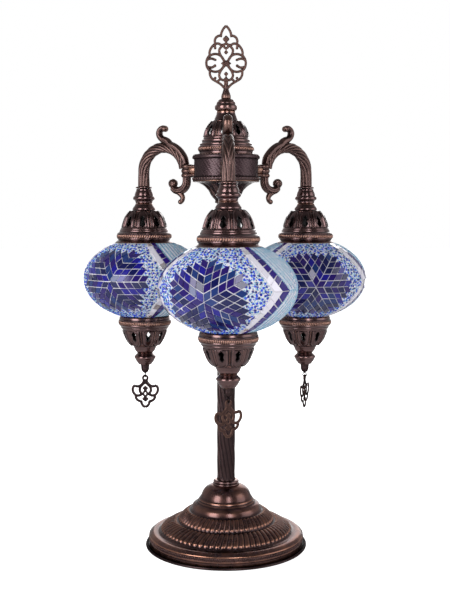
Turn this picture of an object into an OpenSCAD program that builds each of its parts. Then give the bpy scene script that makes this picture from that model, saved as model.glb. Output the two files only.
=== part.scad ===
// Table lamp with three mosaic glass globes on swan-neck arms.
// Millimetres, +Z up. The origin is on the pole's axis, on the table.
// Lamp 1 hangs in front (-Y), lamp 2 at the right rear, lamp 3 at the left rear.

/* [Layout] */
// Distance from the pole's axis to each globe's axis
arm_reach = 123.5; // [118:0.5:130]
// Radius of the arch of each arm
arch_r = 31; // [29:0.5:33]
// Height of the arch's centre above the table
arch_z = 481.5; // [480:0.5:483]

/* [Globes] */
// Half the width of a globe, over the mosaic
globe_rx = 80; // [78:0.5:82]
// Half the height of a globe, over the mosaic
globe_rz = 54; // [53.5:0.1:54.5]
// Height of the globe's centre above the table
globe_z = 341.5; // [341.2:0.1:341.8]
// Thickness of the mosaic with its grout
mosaic_t = 2; // [1.5:0.1:2.2]
// Thickness of the blown glass
glass_t = 2.5; // [2:0.1:3]
// Radius of the glass's upper opening
glass_top_r = 33.5; // [32:0.5:34]
// Radius of the glass's lower opening
glass_bottom_r = 29.5; // [28:0.5:30]

/* [Base] */
// Radius of the bottom plate over its rolled edge
plate_r = 103.6; // [103:0.1:106]
// Thickness of the felt
felt_t = 1.5; // [1:0.5:1.5]
// Radius of the cast weight
weight_r = 80; // [60:1:82]
// Height of the cast weight
weight_h = 12; // [8:1:13]

/* [Pole] */
// Radius of the pole over its flutes
pole_r = 11.6; // [11:0.1:11.6]
// Wall of the pole
pole_wall = 2; // [1.5:0.5:3]
// Wall of the cast caps, domes and bell
cast_t = 1.8; // [1.5:0.1:2]

/* [Fasteners] */
// Outer radius of the hollow lamp thread
pipe_r = 5; // [4.9:0.05:5]
// Bore of the hollow lamp thread
pipe_bore = 3.5; // [3:0.1:3.6]
// Clearance of a hole around the lamp thread
pipe_play = 0.05; // [0.02:0.01:0.08]

/* [Pendants] */
// Turn of each pendant's plate from the lamp's front, in degrees
pendant_turn = [28, 65, 0]; // [-90:1:90]
// Thickness of a pendant's plate
pendant_t = 1.5; // [1:0.1:1.5]
// Height of the hook's eye centre
eye_z = 211.6; // [211.4:0.1:211.7]

/* [Hidden] */
$fn = 96;
lamp_az = [-90, 30, 150];
lobes = 9;
// Angle of the first keyhole in each upper cap and lower cap, and in the hub's dome
cap_first = [16, 23, 29];
bowl_first = [12, 20, 2];
dome_first = 22;
pipe_hole = pipe_r + pipe_play;
plate_z = felt_t;
plate_t = 2;
recess_r = 22;
recess_z = 14;
cover_z = plate_z + plate_t;
cover_top = 79.6;
pole_top = 439.7;
drum_z = 467.6;
deck_z = 500.4;
dome_top = 554.6;
bush_z = 8.2;
bush_y = 98.45;
bush_neck = 5.6;
arm_end_z = 462.6;
arm_tube_r = 7.4;
arm_bore = 4;
arch_x = arm_reach - arch_r;
stub_z = 482.3;
boss_x = 56;
boss_z = 481.3;
cap_top = 440.2;
cap_deck = 436;
holder_top = cap_deck - 0.3;
socket_z = 385;
bulb_glass_r = 22.5;
bulb_z = 350;
wire_r = 1.6;
wire_sides = 8;
eye_r = 2.6;
eye_wire = 0.65;
swing_z = eye_z - eye_r;
ring_hole = 2.1;
ring_z = swing_z + eye_wire + 0.25 - ring_hole;

bronze = "#4a3026";
dark_bronze = "#2f211d";

// Points of a curve from a to b that bulges by h to the left of the way from a to b.
function bow(a, b, h, n = 6) =
    let (d = b - a, side = [-d[1], d[0]] / norm(d))
    [for (i = [0:n]) a + d * (i / n) + side * h * sin(180 * i / n)];

function flipped(p) = [for (i = [len(p) - 1:-1:0]) p[i]];

// The same profile moved in by dr and down by dz, but never below lowest.
function inner(p, dr, dz = 0, lowest = -1e6) = [for (q = p) [q[0] - dr, max(q[1] - dz, lowest)]];

// Points of an ellipse in the r-z plane from angle a to angle b.
function ellipse_arc(rx, rz, zc, a, b, n = 28) =
    [for (i = [0:n]) let (t = a + (b - a) * i / n) [rx * cos(t), zc + rz * sin(t)]];

module turned(points) {
    rotate_extrude() polygon(points);
}

module tube(r, bore, z0, z1) {
    difference() {
        translate([0, 0, z0]) cylinder(r = r, h = z1 - z0);
        translate([0, 0, z0 - 1]) cylinder(r = bore, h = z1 - z0 + 2);
    }
}

module hex_nut(flats, bore, h) {
    difference() {
        cylinder(r = flats / 2 / cos(30), h = h, $fn = 6);
        translate([0, 0, -1]) cylinder(r = bore, h = h + 2, $fn = 96);
    }
}

// Places its children, drawn on the Z axis, on the axis of lamp n.
module at_lamp(n) {
    rotate([0, 0, lamp_az[n - 1]]) translate([arm_reach, 0, 0]) rotate([0, 0, -lamp_az[n - 1]]) children();
}

// Keyholes of two diamonds, the larger one below, cut through a cap wall.
// A negative height turns them over.
module keyholes(z, tall, wide, r, first) {
    for (i = [0:lobes - 1]) {
        rotate([0, 0, first + 360 * i / lobes]) translate([r, 0, z]) rotate([90, 0, 90])
            linear_extrude(30, center = true) polygon([
                [0, -0.5 * tall], [0.5 * wide, -0.22 * tall], [0.2 * wide, 0.06 * tall],
                [0.38 * wide, 0.24 * tall], [0, 0.5 * tall],
                [-0.38 * wide, 0.24 * tall], [-0.2 * wide, 0.06 * tall], [-0.5 * wide, -0.22 * tall]]);
    }
}

// ---- Base ----

module base_felt() {
    color("#1d1a1c") tube(99, 20, 0, felt_t);
}

// Spun plate with a rolled edge, and a raised middle that hides the nut.
module base_plate() {
    edge_r = 1.7;
    edge_x = plate_r - edge_r;
    color(dark_bronze) difference() {
        union() {
            turned([
                [pipe_hole, recess_z - plate_t], [recess_r - plate_t, recess_z - plate_t],
                [recess_r - plate_t, plate_z], [edge_x, plate_z], [edge_x, cover_z], [recess_r, cover_z],
                [recess_r, recess_z], [pipe_hole, recess_z]]);
            rotate_extrude() translate([edge_x, plate_z + 1.2]) circle(edge_r);
        }
        translate([0, recess_r + 5, 8]) rotate([90, 0, 0]) cylinder(r = 3.2, h = 10);
    }
}

module base_weight() {
    slot_w = 10;
    color("#3a3a3c") difference() {
        tube(weight_r, recess_r + 1.5, cover_z, cover_z + weight_h);
        translate([-slot_w / 2, 10, cover_z - 1]) cube([slot_w, weight_r, weight_h + 2]);
    }
}

// Outline of the stepped base from its top to its foot: two plain domes, two ribbed bands, a rim.
cover_line = concat(
    bow([17.2, cover_top], [32.6, 64.2], 3.2), [[33.6, 62], [35.2, 61], [35.2, 59.4]],
    bow([35.8, 58.2], [45, 48], 2.2), [[46.4, 46.6]],
    bow([46.8, 46.2], [61.4, 34.2], 2), [[62.6, 33]],
    bow([63, 32.6], [84, 21.6], 2.2), [[86, 19.8], [90.4, 19.2]],
    bow([91.4, 19.4], [98.8, 15.8], 1.5), [[99.6, 15], [99.6, 12.9], [98.4, 12.4], [98.4, cover_z]]);

module base_cover() {
    wall_z = 2.2;
    color(bronze) difference() {
        turned(concat(
            [[pipe_hole, cover_top]], cover_line, [[96.6, cover_z]],
            flipped(inner([for (q = cover_line) if (q[1] > 15.5) q], cast_t, wall_z)),
            [[pipe_hole, cover_top - wall_z]]));
        translate([0, bush_y, bush_z]) cube([bush_neck + 0.1, 12, bush_neck + 0.1], center = true);
    }
}

// Rubber bush with a square neck in the rear of the cover, for the mains lead.
module cord_bush() {
    color("#161616") translate([0, bush_y, bush_z]) rotate([90, 0, 0]) difference() {
        union() {
            translate([0, 0, -1.7]) cylinder(r = 4, h = 1.7);
            translate([-bush_neck / 2, -bush_neck / 2, -0.5]) cube([bush_neck, bush_neck, 3.6]);
            translate([0, 0, 2.2]) cylinder(r = 4, h = 1.4);
        }
        translate([0, 0, -3]) cylinder(r = 2, h = 10);
    }
}

module rod_washer() {
    color("silver") tube(9, pipe_hole, recess_z - plate_t - 1.2, recess_z - plate_t);
}

module rod_nut() {
    color("silver") translate([0, 0, recess_z - plate_t - 5.2]) hex_nut(14, pipe_hole, 4);
}

// ---- Pole and hub ----

module threaded_rod() {
    color("silver") tube(pipe_r, pipe_bore, 4, 562);
}

module pole_collar() {
    bore = pole_r + 0.05;
    color(bronze) turned([
        [bore, cover_top + 0.05], [17, cover_top + 0.05], [17, 81], [15.6, 82], [16.4, 83.2], [16.4, 84.6],
        [15.4, 85.8], [14, 86.2], [bore, 86.2]]);
}

module pole() {
    color(bronze) tube(pole_r, pole_r - pole_wall, cover_top + 0.05, pole_top);
}

bell_line = [
    [13.4, pole_top], [14.1, 440.6], [14.1, 442], [13.4, 443.2], [14.4, 444.8], [17.4, 447.8],
    [18.6, 449.8], [20.6, 453.3], [22.3, 456.5], [25.4, 460.3], [29.2, 463.8], [33.4, 465.6],
    [41.6, 466], [41.6, drum_z]];

module hub_bell() {
    color(bronze) turned(concat(
        [[pipe_hole, pole_top]], bell_line, [[36, drum_z], [36, 467.4], [29.2, 466], [25.4, 463.4]],
        [[21.6, 460], [19.6, 456.5], [17.6, 452.6], [14.6, 449], [pipe_hole, 446]]));
}

module hub_drum() {
    z = drum_z + 0.05;
    color(bronze) difference() {
        turned([
            [38.1, z], [42, z], [42.3, 469], [42, 471.4], [40.1, 472.2], [40.1, 494.2], [42.3, 495],
            [42.5, 497], [41.4, 499.4], [38, deck_z], [pipe_hole, deck_z], [pipe_hole, deck_z - 2],
            [38.1, deck_z - 2]]);
        for (az = lamp_az) rotate([0, 0, az]) translate([30, 0, stub_z]) rotate([0, 90, 0])
            cylinder(r = pipe_hole + 0.1, h = 16);
    }
}

dome_line = [
    [34.6, deck_z + 0.05], [33.8, 502.2], [33.8, 504], [35.4, 506], [35.6, 508.5], [34.4, 511.6],
    [34.3, 512.8], [32.9, 514.6], [30.8, 516.2], [30.8, 518.6], [28.6, 520.6], [28.2, 522],
    [27.6, 525.4], [26.3, 530.5], [23.6, 535.7], [19.7, 539.8], [16.6, 542.6], [14.2, 544.6],
    [13.1, 548], [11.6, 552], [11.8, dome_top]];

module hub_dome() {
    color(bronze) difference() {
        turned(concat(
            [[32.4, deck_z + 0.05]], dome_line, [[pipe_hole, dome_top], [pipe_hole, 544]],
            [[10, 542.4], [16, 538.8], [20.4, 534.6], [24.2, 528]],
            [[26, 520.6], [28.4, 516.4], [31.4, 511.4], [31.6, 503]]));
        keyholes(530.5, 14.6, 6, 25, dome_first);
    }
}

// Small cap that screws on the top of the rod and clamps the whole stack.
module hub_cap() {
    color(bronze) turned([
        [pipe_hole, dome_top + 0.05], [12.2, dome_top + 0.05], [13.8, 556.2], [14.3, 557.6],
        [14.3, 559.4], [13.6, 560.8], [12.5, 561.6], [12.3, 562.8], [11.2, 565.6], [9.6, 567.6], [6.6, 569.6],
        [2.9, 569.6], [2.9, 562.4], [pipe_hole, 562.4]]);
}

// ---- Finial: a turned stem with a flat pierced plate ----

finial_lobes = [
    [12.4, 640.6, 5.2], [15.4, 627.6, 7.4], [16.2, 613.4, 9.4], [13.6, 602.2, 7.8], [8, 596.4, 8]];

module finial_outline(grow = 0) {
    for (s = [-1, 1], q = finial_lobes) translate([s * q[0], q[1]]) circle(q[2] + grow);
    polygon([
        [0, 660 + 1.4 * grow], [-8 - grow, 647], [-8 - grow, 640], [0, 584],
        [8 + grow, 640], [8 + grow, 647]]);
    translate([-12, 598]) square([24, 44]);
}

module finial_openings() {
    for (s = [-1, 1]) {
        translate([s * 12.6, 613.4]) circle(9.4);
        translate([s * 10.4, 641.2]) circle(4.3);
        translate([s * 14.6, 627.6]) circle(3.9);
        translate([s * 14.8, 599.8]) circle(3.9);
        translate([s * 5.2, 594]) circle(1.5);
    }
    polygon([[0, 654.6], [-5.4, 647], [-5.4, 641], [0, 637.6], [5.4, 641], [5.4, 647]]);
    polygon([[0, 619], [-6.4, 627.4], [-5, 632.4], [0, 629.6], [5, 632.4], [6.4, 627.4]]);
    polygon([[0, 607.8], [-6.2, 601], [-5.4, 596.6], [0, 599.4], [5.4, 596.6], [6.2, 601]]);
}

module finial() {
    plate_t = 3;
    color(bronze) {
        rotate([90, 0, 0]) linear_extrude(plate_t, center = true) difference() {
            finial_outline();
            finial_openings();
        }
        turned([
            [0, 564], [2.8, 564], [2.8, 569.65], [5.6, 569.65], [6.1, 571.4], [6, 573.4],
            [4.6, 576.8], [3.2, 582.4], [2.4, 587], [0, 589]]);
    }
}

// ---- Arms ----

// Arc of a round bar in the X-Z plane, about [x, z], from angle a to angle b.
module bar_arc(x, z, radius, bar_r, a, b) {
    translate([x, 0, z]) rotate([90, 0, 0]) rotate([0, 0, a])
        rotate_extrude(angle = b - a) translate([radius, 0]) circle(bar_r, $fn = 48);
}

module ball(x, z, r) {
    translate([x, 0, z]) sphere(r, $fn = 48);
}

boss_line = concat(
    [[0, -8.3]], bow([7.6, -8.3], [7.6, -2.9], -1.3, 4), bow([7.6, -2.7], [7.6, 2.7], -1.3, 4),
    bow([7.6, 2.9], [7.6, 8.3], -1.3, 4), [[0, 8.3]]);

module arm_solid() {
    translate([arm_reach, 0, arm_end_z]) cylinder(r = arm_tube_r + 0.1, h = arch_z - arm_end_z);
    bar_arc(arch_x, arch_z, arch_r, arm_tube_r, 0, 80);
    bar_arc(arch_x, arch_z, arch_r, arm_tube_r - 0.5, 78, 125);
    bar_arc(arch_x, arch_z, arch_r, arm_tube_r - 1, 123, 174);
    // Leaf that lies along the outside of the arch and ends in a free curl
    bar_arc(arch_x, arch_z, 36, 5.3, 88, 163);
    bar_arc(91, 530, 7.4, 3.1, -95, 95);
    ball(90.4, 537.4, 3.6);
    ball(91, 522.6, 3.4);
    // Boss, and the scroll below it with its small tail
    translate([boss_x, 0, boss_z]) turned(boss_line);
    translate([57.6, 0, 468.5]) cylinder(r = 4.7, h = 10);
    bar_arc(69.6, 468.5, 12, 4.5, 180, 330);
    ball(78.2, 465.4, 5.4);
    bar_arc(69.5, 447, 5.7, 2.6, 105, 235);
    ball(66.8, 441.8, 2.9);
    // Threaded stub that passes through the drum's wall
    translate([33, 0, stub_z]) rotate([0, 90, 0]) cylinder(r = pipe_r, h = boss_x - 33);
    translate([40.3, 0, stub_z]) rotate([0, 90, 0]) cylinder(r = 6.4, h = boss_x - 40.3);
}

module arm_bores() {
    translate([arm_reach, 0, arm_end_z - 1]) cylinder(r = pipe_hole, h = 12);
    translate([arm_reach, 0, arm_end_z + 10]) cylinder(r = arm_bore - 0.2, h = arch_z - arm_end_z - 10);
    bar_arc(arch_x, arch_z, arch_r, arm_bore, 0, 172);
    ball(arch_x - arch_r + 0.3, stub_z + 1.6, arm_bore + 0.8);
    translate([32, 0, stub_z]) rotate([0, 90, 0]) cylinder(r = pipe_bore, h = arch_x - arch_r - 31);
}

module arm(n) {
    color(bronze) rotate([0, 0, lamp_az[n - 1]]) difference() {
        arm_solid();
        arm_bores();
    }
}

module arm_nuts() {
    color("silver") for (az = lamp_az)
        rotate([0, 0, az]) translate([33, 0, stub_z]) rotate([0, 90, 0]) rotate([0, 0, 30])
            hex_nut(14, pipe_hole, 4);
}

// Route of the twin flex in an arm, in the arm's own X-Z plane:
// up the nipple, over the arch, into the hub.
wire_route = concat(
    [for (z = [424.6, 440, 456, 472]) [arm_reach, z]],
    [for (a = [0:15:165]) [arch_x + arch_r * cos(a), arch_z + arch_r * sin(a)]],
    [[61.4, 485.4], [59.6, 483.2], [57, 482.3], [48, 482.3], [36, 482.3], [28, 481], [22, 476], [19, 468]]);

function way(p, i) = let (d = p[min(i + 1, len(p) - 1)] - p[max(i - 1, 0)]) d / norm(d);

module wire() {
    p = wire_route;
    n = wire_sides;
    points = [for (i = [0:len(p) - 1], k = [0:n - 1])
        let (d = way(p, i), u = wire_r * cos(360 * k / n), v = wire_r * sin(360 * k / n))
        [p[i][0] - d[1] * u, v, p[i][1] + d[0] * u]];
    sides = [for (i = [0:len(p) - 2], k = [0:n - 1])
        let (a = i * n + k, b = i * n + (k + 1) % n) [a, a + n, b + n, b]];
    last = (len(p) - 1) * n;
    ends = [[for (k = [0:n - 1]) k], [for (k = [n - 1:-1:0]) last + k]];
    polyhedron(points, concat(sides, ends));
}

module arm_wires() {
    color("#c9b072") for (az = lamp_az) rotate([0, 0, az]) wire();
}

// ---- One lamp ----

module neck_ring(n) {
    color(bronze) at_lamp(n) turned([
        [pipe_hole, 459.8], [8.4, 459.8], [10.6, 460.6], [11, 461.4], [10.6, 462.3], [9.6, 462.55],
        [pipe_hole, 462.55]]);
}

module neck_knob(n) {
    color(bronze) at_lamp(n) turned([
        [pipe_hole, cap_top + 0.3], [11.2, cap_top + 0.3], [11.6, 442], [13.2, 444], [14.6, 445.8],
        [14.6, 448.2], [13.4, 450.4], [12.2, 452], [11, 453.8], [10.8, 456], [10.4, 458], [9.4, 459.75],
        [pipe_hole, 459.75]]);
}

module nipple(n) {
    color("silver") at_lamp(n) tube(pipe_r, pipe_bore, 425, 472);
}

module lampholder(n) {
    color("#1b1b1d") at_lamp(n) turned([
        [7.3, socket_z], [12, socket_z], [13, 386], [13, 402], [14, 403], [14, 424], [9, 430],
        [8, holder_top], [pipe_hole, holder_top], [pipe_hole, 424.5], [3, 424.5], [3, 412], [7.3, 412]]);
}

module bulb(n) {
    color("#f4f0e6") at_lamp(n) {
        turned(concat(
            [[0, bulb_z - bulb_glass_r]],
            [for (a = [-80:10:50]) [bulb_glass_r * cos(a), bulb_z + bulb_glass_r * sin(a)]],
            [[11.6, 371.6], [9.6, 376.6], [9.2, 383], [6.9, 384.6], [6.9, 404], [4.6, 408], [0, 409]]));
    }
}

cap_line = [
    [11.2, cap_top], [11.8, 438.4], [13.6, 436.2], [14.8, 434], [15.2, 432.2], [16.8, 431.2], [19.3, 429.5],
    [21.9, 426.8], [24.8, 423], [26.9, 418], [28.3, 413.6], [29.6, 409], [30.3, 406.8], [31.9, 404.8],
    [32.2, 403.2], [35.2, 400.8], [36.2, 398.8], [36.2, 396.2], [34.5, 393.6], [34.4, 392.6], [36, 391],
    [39, 389]];

module upper_cap(n) {
    color(bronze) at_lamp(n) difference() {
        turned(concat(
            [[pipe_hole, cap_top]], cap_line, [[37, 389.7], [34.6, 391.2]],
            flipped([for (q = cap_line) if (q[1] > 392 && q[1] < 431.5) [q[0] - cast_t, q[1] - 0.8]]),
            [[11, 432], [9.6, cap_deck], [pipe_hole, cap_deck]]));
        keyholes(418, 14, 6.4, 27, cap_first[n - 1]);
    }
}

// A shell of the globe between two ellipses, open at the top and at the bottom.
module globe_shell(outer, thick) {
    rx = globe_rx - outer;
    rz = globe_rz - outer;
    top = acos(glass_top_r / rx);
    low = acos(glass_bottom_r / rx);
    turned(concat(
        ellipse_arc(rx, rz, globe_z, -low, top),
        flipped(ellipse_arc(rx - thick, rz - thick, globe_z, -acos(glass_bottom_r / (rx - thick)),
            acos(glass_top_r / (rx - thick))))));
}

module globe(n) {
    color("#9fb6d8") at_lamp(n) globe_shell(mosaic_t, glass_t);
}

module mosaic(n) {
    color("#2c3fb0") at_lamp(n) globe_shell(0, mosaic_t);
}

bowl_line = [
    [32.4, 291.6], [33.4, 290.4], [33.8, 287.4], [34.9, 284.6], [35, 281.6], [33.6, 279.6], [31.8, 277.4],
    [31.2, 275.6], [29.3, 273.4], [28.4, 270.2], [27.7, 268], [26.7, 266], [24.7, 260.4], [21.3, 255.2],
    [17.7, 252], [15, 250.2], [14.6, 248.8], [13, 245], [10.6, 242.2]];

module lower_cap(n) {
    color(bronze) at_lamp(n) difference() {
        turned(concat(
            bowl_line, [[2.6, 242.2], [2.6, 247.4], [9, 247.4], [13, 251.6]],
            flipped([for (q = bowl_line) if (q[1] > 255 && q[1] < 291) [q[0] - cast_t, q[1] + 0.8]]),
            [[30.8, 291.6]]));
        keyholes(264.5, -13, 5.6, 25, bowl_first[n - 1]);
    }
}

module lower_knob(n) {
    color(bronze) at_lamp(n) turned([
        [2.3, 226.4], [8.9, 226.4], [8.9, 227.6], [11.4, 230.5], [13.2, 233], [14.5, 235.6],
        [14.5, 237], [12.6, 239], [10.8, 240.6], [10.2, 242.15],
        [2.5, 242.15], [2.5, 250], [0, 250], [0, 232], [2.3, 232]]);
}

module drop_tip(n) {
    shank_hole = 1.25;
    color(bronze) at_lamp(n) turned([
        [shank_hole, 214.9], [2.2, 215], [4.4, 217], [5.4, 219.5], [5.9, 222.5], [5.9, 226.35],
        [2.25, 226.35], [2.25, 231], [0, 231], [0, 224.4], [shank_hole, 224.4]]);
}

// Turns the pendant's own plane, X-Z, to its angle at rest.
module at_pendant(n) {
    at_lamp(n) rotate([0, 0, pendant_turn[n - 1]]) children();
}

module hook_eye(n) {
    color(dark_bronze) at_pendant(n) {
        translate([0, 0, eye_z]) rotate([0, 90, 0]) rotate_extrude()
            translate([eye_r, 0]) circle(eye_wire, $fn = 24);
        translate([0, 0, eye_z + eye_r - 0.3]) cylinder(r = 1.2, h = 9.6);
    }
}

module pendant_outline() {
    translate([0, ring_z]) circle(4.3);
    polygon([
        [-2.4, ring_z - 3], [-3, 198.4], [-9, 194], [-9, 184],
        [9, 184], [9, 194], [3, 198.4], [2.4, ring_z - 3]]);
    for (s = [-1, 1]) {
        intersection() {
            translate([s * 9, 192]) circle(9.6);
            translate([s * 9, 188.8]) square([19.4, 17.6], center = true);
        }
        translate([s * 7.4, 182.6]) circle(5.8);
    }
    translate([0, 175]) circle(7.5);
    translate([-7, 174]) square([14, 12]);
}

module pendant_openings() {
    translate([0, ring_z]) circle(ring_hole);
    polygon([[0, 199.6], [-5.6, 192.6], [-4.6, 187.6], [4.6, 187.6], [5.6, 192.6]]);
    for (s = [-1, 1]) {
        translate([s * 12.2, 191.6]) circle(4.4);
        translate([s * 7.8, 181.6]) circle(3.2);
    }
    translate([0, 175]) circle(5.2);
}

module pendant(n) {
    color(dark_bronze) at_pendant(n) rotate([90, 0, 0]) linear_extrude(pendant_t, center = true) {
        difference() {
            pendant_outline();
            pendant_openings();
        }
    }
}

base_felt();
base_plate();
base_weight();
base_cover();
cord_bush();
rod_washer();
rod_nut();
threaded_rod();
pole_collar();
pole();
hub_bell();
hub_drum();
hub_dome();
hub_cap();
finial();
arm_nuts();
arm_wires();
for (n = [1:3]) {
    arm(n);
    neck_ring(n);
    neck_knob(n);
    nipple(n);
    lampholder(n);
    bulb(n);
    upper_cap(n);
    globe(n);
    mosaic(n);
    lower_cap(n);
    lower_knob(n);
    drop_tip(n);
    hook_eye(n);
    pendant(n);
}
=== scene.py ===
"""Looks of the mosaic glass table lamp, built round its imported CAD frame.

Shapes are worked out in millimetres and degrees, and turned to metres when a mesh is made.
Lamp 1 hangs in front (-Y), lamp 2 at the right rear and lamp 3 at the left rear.
"""

import math

import bmesh
import bpy
import numpy as np
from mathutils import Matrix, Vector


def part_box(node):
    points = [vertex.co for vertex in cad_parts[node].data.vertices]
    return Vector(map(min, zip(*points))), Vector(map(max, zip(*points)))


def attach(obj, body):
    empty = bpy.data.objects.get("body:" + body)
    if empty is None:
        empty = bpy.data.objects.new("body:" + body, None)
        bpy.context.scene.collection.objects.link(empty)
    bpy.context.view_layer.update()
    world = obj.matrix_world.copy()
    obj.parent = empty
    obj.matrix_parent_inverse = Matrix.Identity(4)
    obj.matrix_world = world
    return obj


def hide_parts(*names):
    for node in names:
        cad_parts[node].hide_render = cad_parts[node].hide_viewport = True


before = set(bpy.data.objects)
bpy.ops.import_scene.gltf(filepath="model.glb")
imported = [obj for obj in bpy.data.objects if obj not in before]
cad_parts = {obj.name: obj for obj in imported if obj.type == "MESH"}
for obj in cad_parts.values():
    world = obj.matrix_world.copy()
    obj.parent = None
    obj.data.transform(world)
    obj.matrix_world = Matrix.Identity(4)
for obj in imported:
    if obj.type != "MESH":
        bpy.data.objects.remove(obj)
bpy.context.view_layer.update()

MM = 0.001
LAMPS = (1, 2, 3)
LAMP_AZ = {1: -90.0, 2: 30.0, 3: 150.0}
ARM_REACH = 123.5
LOBES = 9
PIPE_HOLE = 5.1
CAST_THICKNESS = 1.8

GLOBE_RX = 80.0
GLOBE_RZ = 54.0
GLOBE_Z = 341.5
# Centre of each globe's nearer star: its azimuth, its height, and the turn of its rays
STAR_AZ = {1: -111.0, 2: -86.0, 3: -120.0}
STAR_Z = {1: 331.0, 2: 334.5, 3: 341.5}
STAR_TURN = {1: 30.0, 2: 0.0, 3: 0.0}

CAP_FIRST = {1: 16.0, 2: 23.0, 3: 29.0}
BOWL_FIRST = {1: 12.0, 2: 20.0, 3: 2.0}
DOME_FIRST = 22.0
PENDANT_TURN = {1: 28.0, 2: 65.0, 3: 0.0}


# ---- Curves and profiles ----


def bow(a, b, bulge, steps):
    """Points of a curve from a to b that bulges to the left of the way from a to b."""
    a = np.array(a, float)
    along = np.array(b, float) - a
    side = np.array([-along[1], along[0]]) / np.linalg.norm(along)
    out = []
    for t in np.linspace(0, 1, steps + 1):
        out.append(tuple(a + along * t + side * bulge * math.sin(math.pi * t)))
    return out


def rounded(line, steps, most=1e9):
    """The line with a curve at each corner, which takes up to half of each side or the length most."""
    p = np.array(line, float)
    out = [p[0]]
    for before, corner, after in zip(p, p[1:], p[2:]):
        back = before - corner
        on = after - corner
        back_length = np.linalg.norm(back)
        on_length = np.linalg.norm(on)
        start = corner + back / back_length * min(0.5 * back_length, most)
        end = corner + on / on_length * min(0.5 * on_length, most)
        for t in np.linspace(0, 1, steps + 1):
            out.append((1 - t) ** 2 * start + 2 * t * (1 - t) * corner + t * t * end)
    out.append(p[-1])
    return without_repeats(np.array(out))


def without_repeats(p):
    """The line without points that fall on the one before."""
    gap = np.linalg.norm(np.diff(p, axis=0), axis=1)
    return p[np.concatenate([[True], gap > 1e-4])]


def lengths(p):
    """Distance along a line to each of its points."""
    return np.concatenate([[0], np.cumsum(np.linalg.norm(np.diff(p, axis=0), axis=1))])


def spaced(p, step):
    """The same line with its points about step apart."""
    s = lengths(p)
    at = np.linspace(0, s[-1], max(int(round(s[-1] / step)), 2) + 1)
    return np.stack([np.interp(at, s, p[:, k]) for k in range(p.shape[1])], axis=1)


def smooth_curve(points, step, closed=False):
    """A Catmull-Rom curve through points in a plane."""
    p = [np.array(q, float) for q in points]
    ring = [p[-1]] + p + [p[0], p[1]] if closed else [2 * p[0] - p[1]] + p + [2 * p[-1] - p[-2]]
    out = []
    for a, b, c, d in zip(ring, ring[1:], ring[2:], ring[3:]):
        count = max(int(np.linalg.norm(c - b) / step), 2)
        for t in np.arange(count) / count:
            point = 2 * b + (c - a) * t + (2 * a - 5 * b + 4 * c - d) * t**2
            out.append(0.5 * (point + (3 * b - a - 3 * c + d) * t**3))
    if not closed:
        out.append(p[-1])
    return np.array(out)


def arc(cx, cz, radius, start, end, step):
    """Points of an arc from one angle to another, in degrees from the positive X side."""
    count = max(int(abs(math.radians(end - start)) * radius / step), 4)
    t = np.radians(np.linspace(start, end, count + 1))
    return np.stack([cx + radius * np.cos(t), cz + radius * np.sin(t)], axis=1)


def ease(x, low, high):
    """0 below low, 1 above high, and smooth between them."""
    t = np.clip((x - low) / (high - low), 0, 1)
    return t * t * (3 - 2 * t)


# ---- Meshes ----


def grid_faces(rows, columns, loop=False):
    """Quads between rows of points that each close on themselves; loop joins the last row to the first."""
    i = np.arange(rows if loop else rows - 1)[:, None]
    j = np.arange(columns)[None, :]
    below = (i + 1) % rows
    right = (j + 1) % columns
    corners = [i * columns + j, below * columns + j, below * columns + right, i * columns + right]
    return np.stack(corners, axis=-1).reshape(-1, 4)


def line_normals(line):
    """Unit vectors to the left of a line that runs downwards, so pointing out of a turned shape."""
    way = np.gradient(line, axis=0)
    way /= np.linalg.norm(way, axis=1)[:, None]
    return np.stack([-way[:, 1], way[:, 0]], axis=1)


def revolve(line, columns, relief=None, turn=0.0, loop=False):
    """A turned shape from its outline, top to bottom. relief(theta, s, r, z) is its added height."""
    line = without_repeats(np.array(line, float))
    normal = line_normals(line)
    theta = math.radians(turn) + np.arange(columns)[None, :] * 2 * math.pi / columns
    s = lengths(line)[:, None]
    r = line[:, :1]
    z = line[:, 1:]
    height = relief(theta, s, r, z) if relief else np.zeros((len(line), columns))
    out_r = r + normal[:, :1] * height
    out_z = z + normal[:, 1:] * height
    points = np.stack([out_r * np.cos(theta), out_r * np.sin(theta), out_z + 0 * theta], axis=-1)
    return points.reshape(-1, 3), grid_faces(len(line), columns, loop=loop)


def sweep(path, section, around, closed=False):
    """A bar along a path in the X-Z plane.

    section(theta, s, length) gives its half-sizes in the plane and across it.
    """
    way = np.gradient(path, axis=0)
    if closed:
        way = np.roll(path, -1, axis=0) - np.roll(path, 1, axis=0)
    way /= np.linalg.norm(way, axis=1)[:, None]
    side = np.stack([-way[:, 1], way[:, 0]], axis=1)
    s = lengths(path)
    theta = np.arange(around)[None, :] * 2 * math.pi / around
    in_plane, across = section(theta, s[:, None], s[-1])
    u = in_plane * np.cos(theta)
    v = across * np.sin(theta)
    x = path[:, :1] + side[:, :1] * u
    z = path[:, 1:] + side[:, 1:] * u
    points = np.stack([x, v + 0 * x, z], axis=-1).reshape(-1, 3)
    faces = grid_faces(len(path), around, loop=closed)
    return (points, faces) if closed else (points, capped(faces, around, len(points)))


def capped(faces, around, count):
    """The faces with one more at each end, on the first and the last ring of points."""
    return faces.tolist() + [tuple(range(around)), tuple(range(count - 1, count - 1 - around, -1))]


def ball(x, z, radius):
    """A round ball at a place in the X-Z plane."""
    line = arc(0, 0, radius, 90, -90, step=radius / 9)
    line[[0, -1], 0] = 0
    return moved(revolve(line, 28), (x, 0, z))


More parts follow.
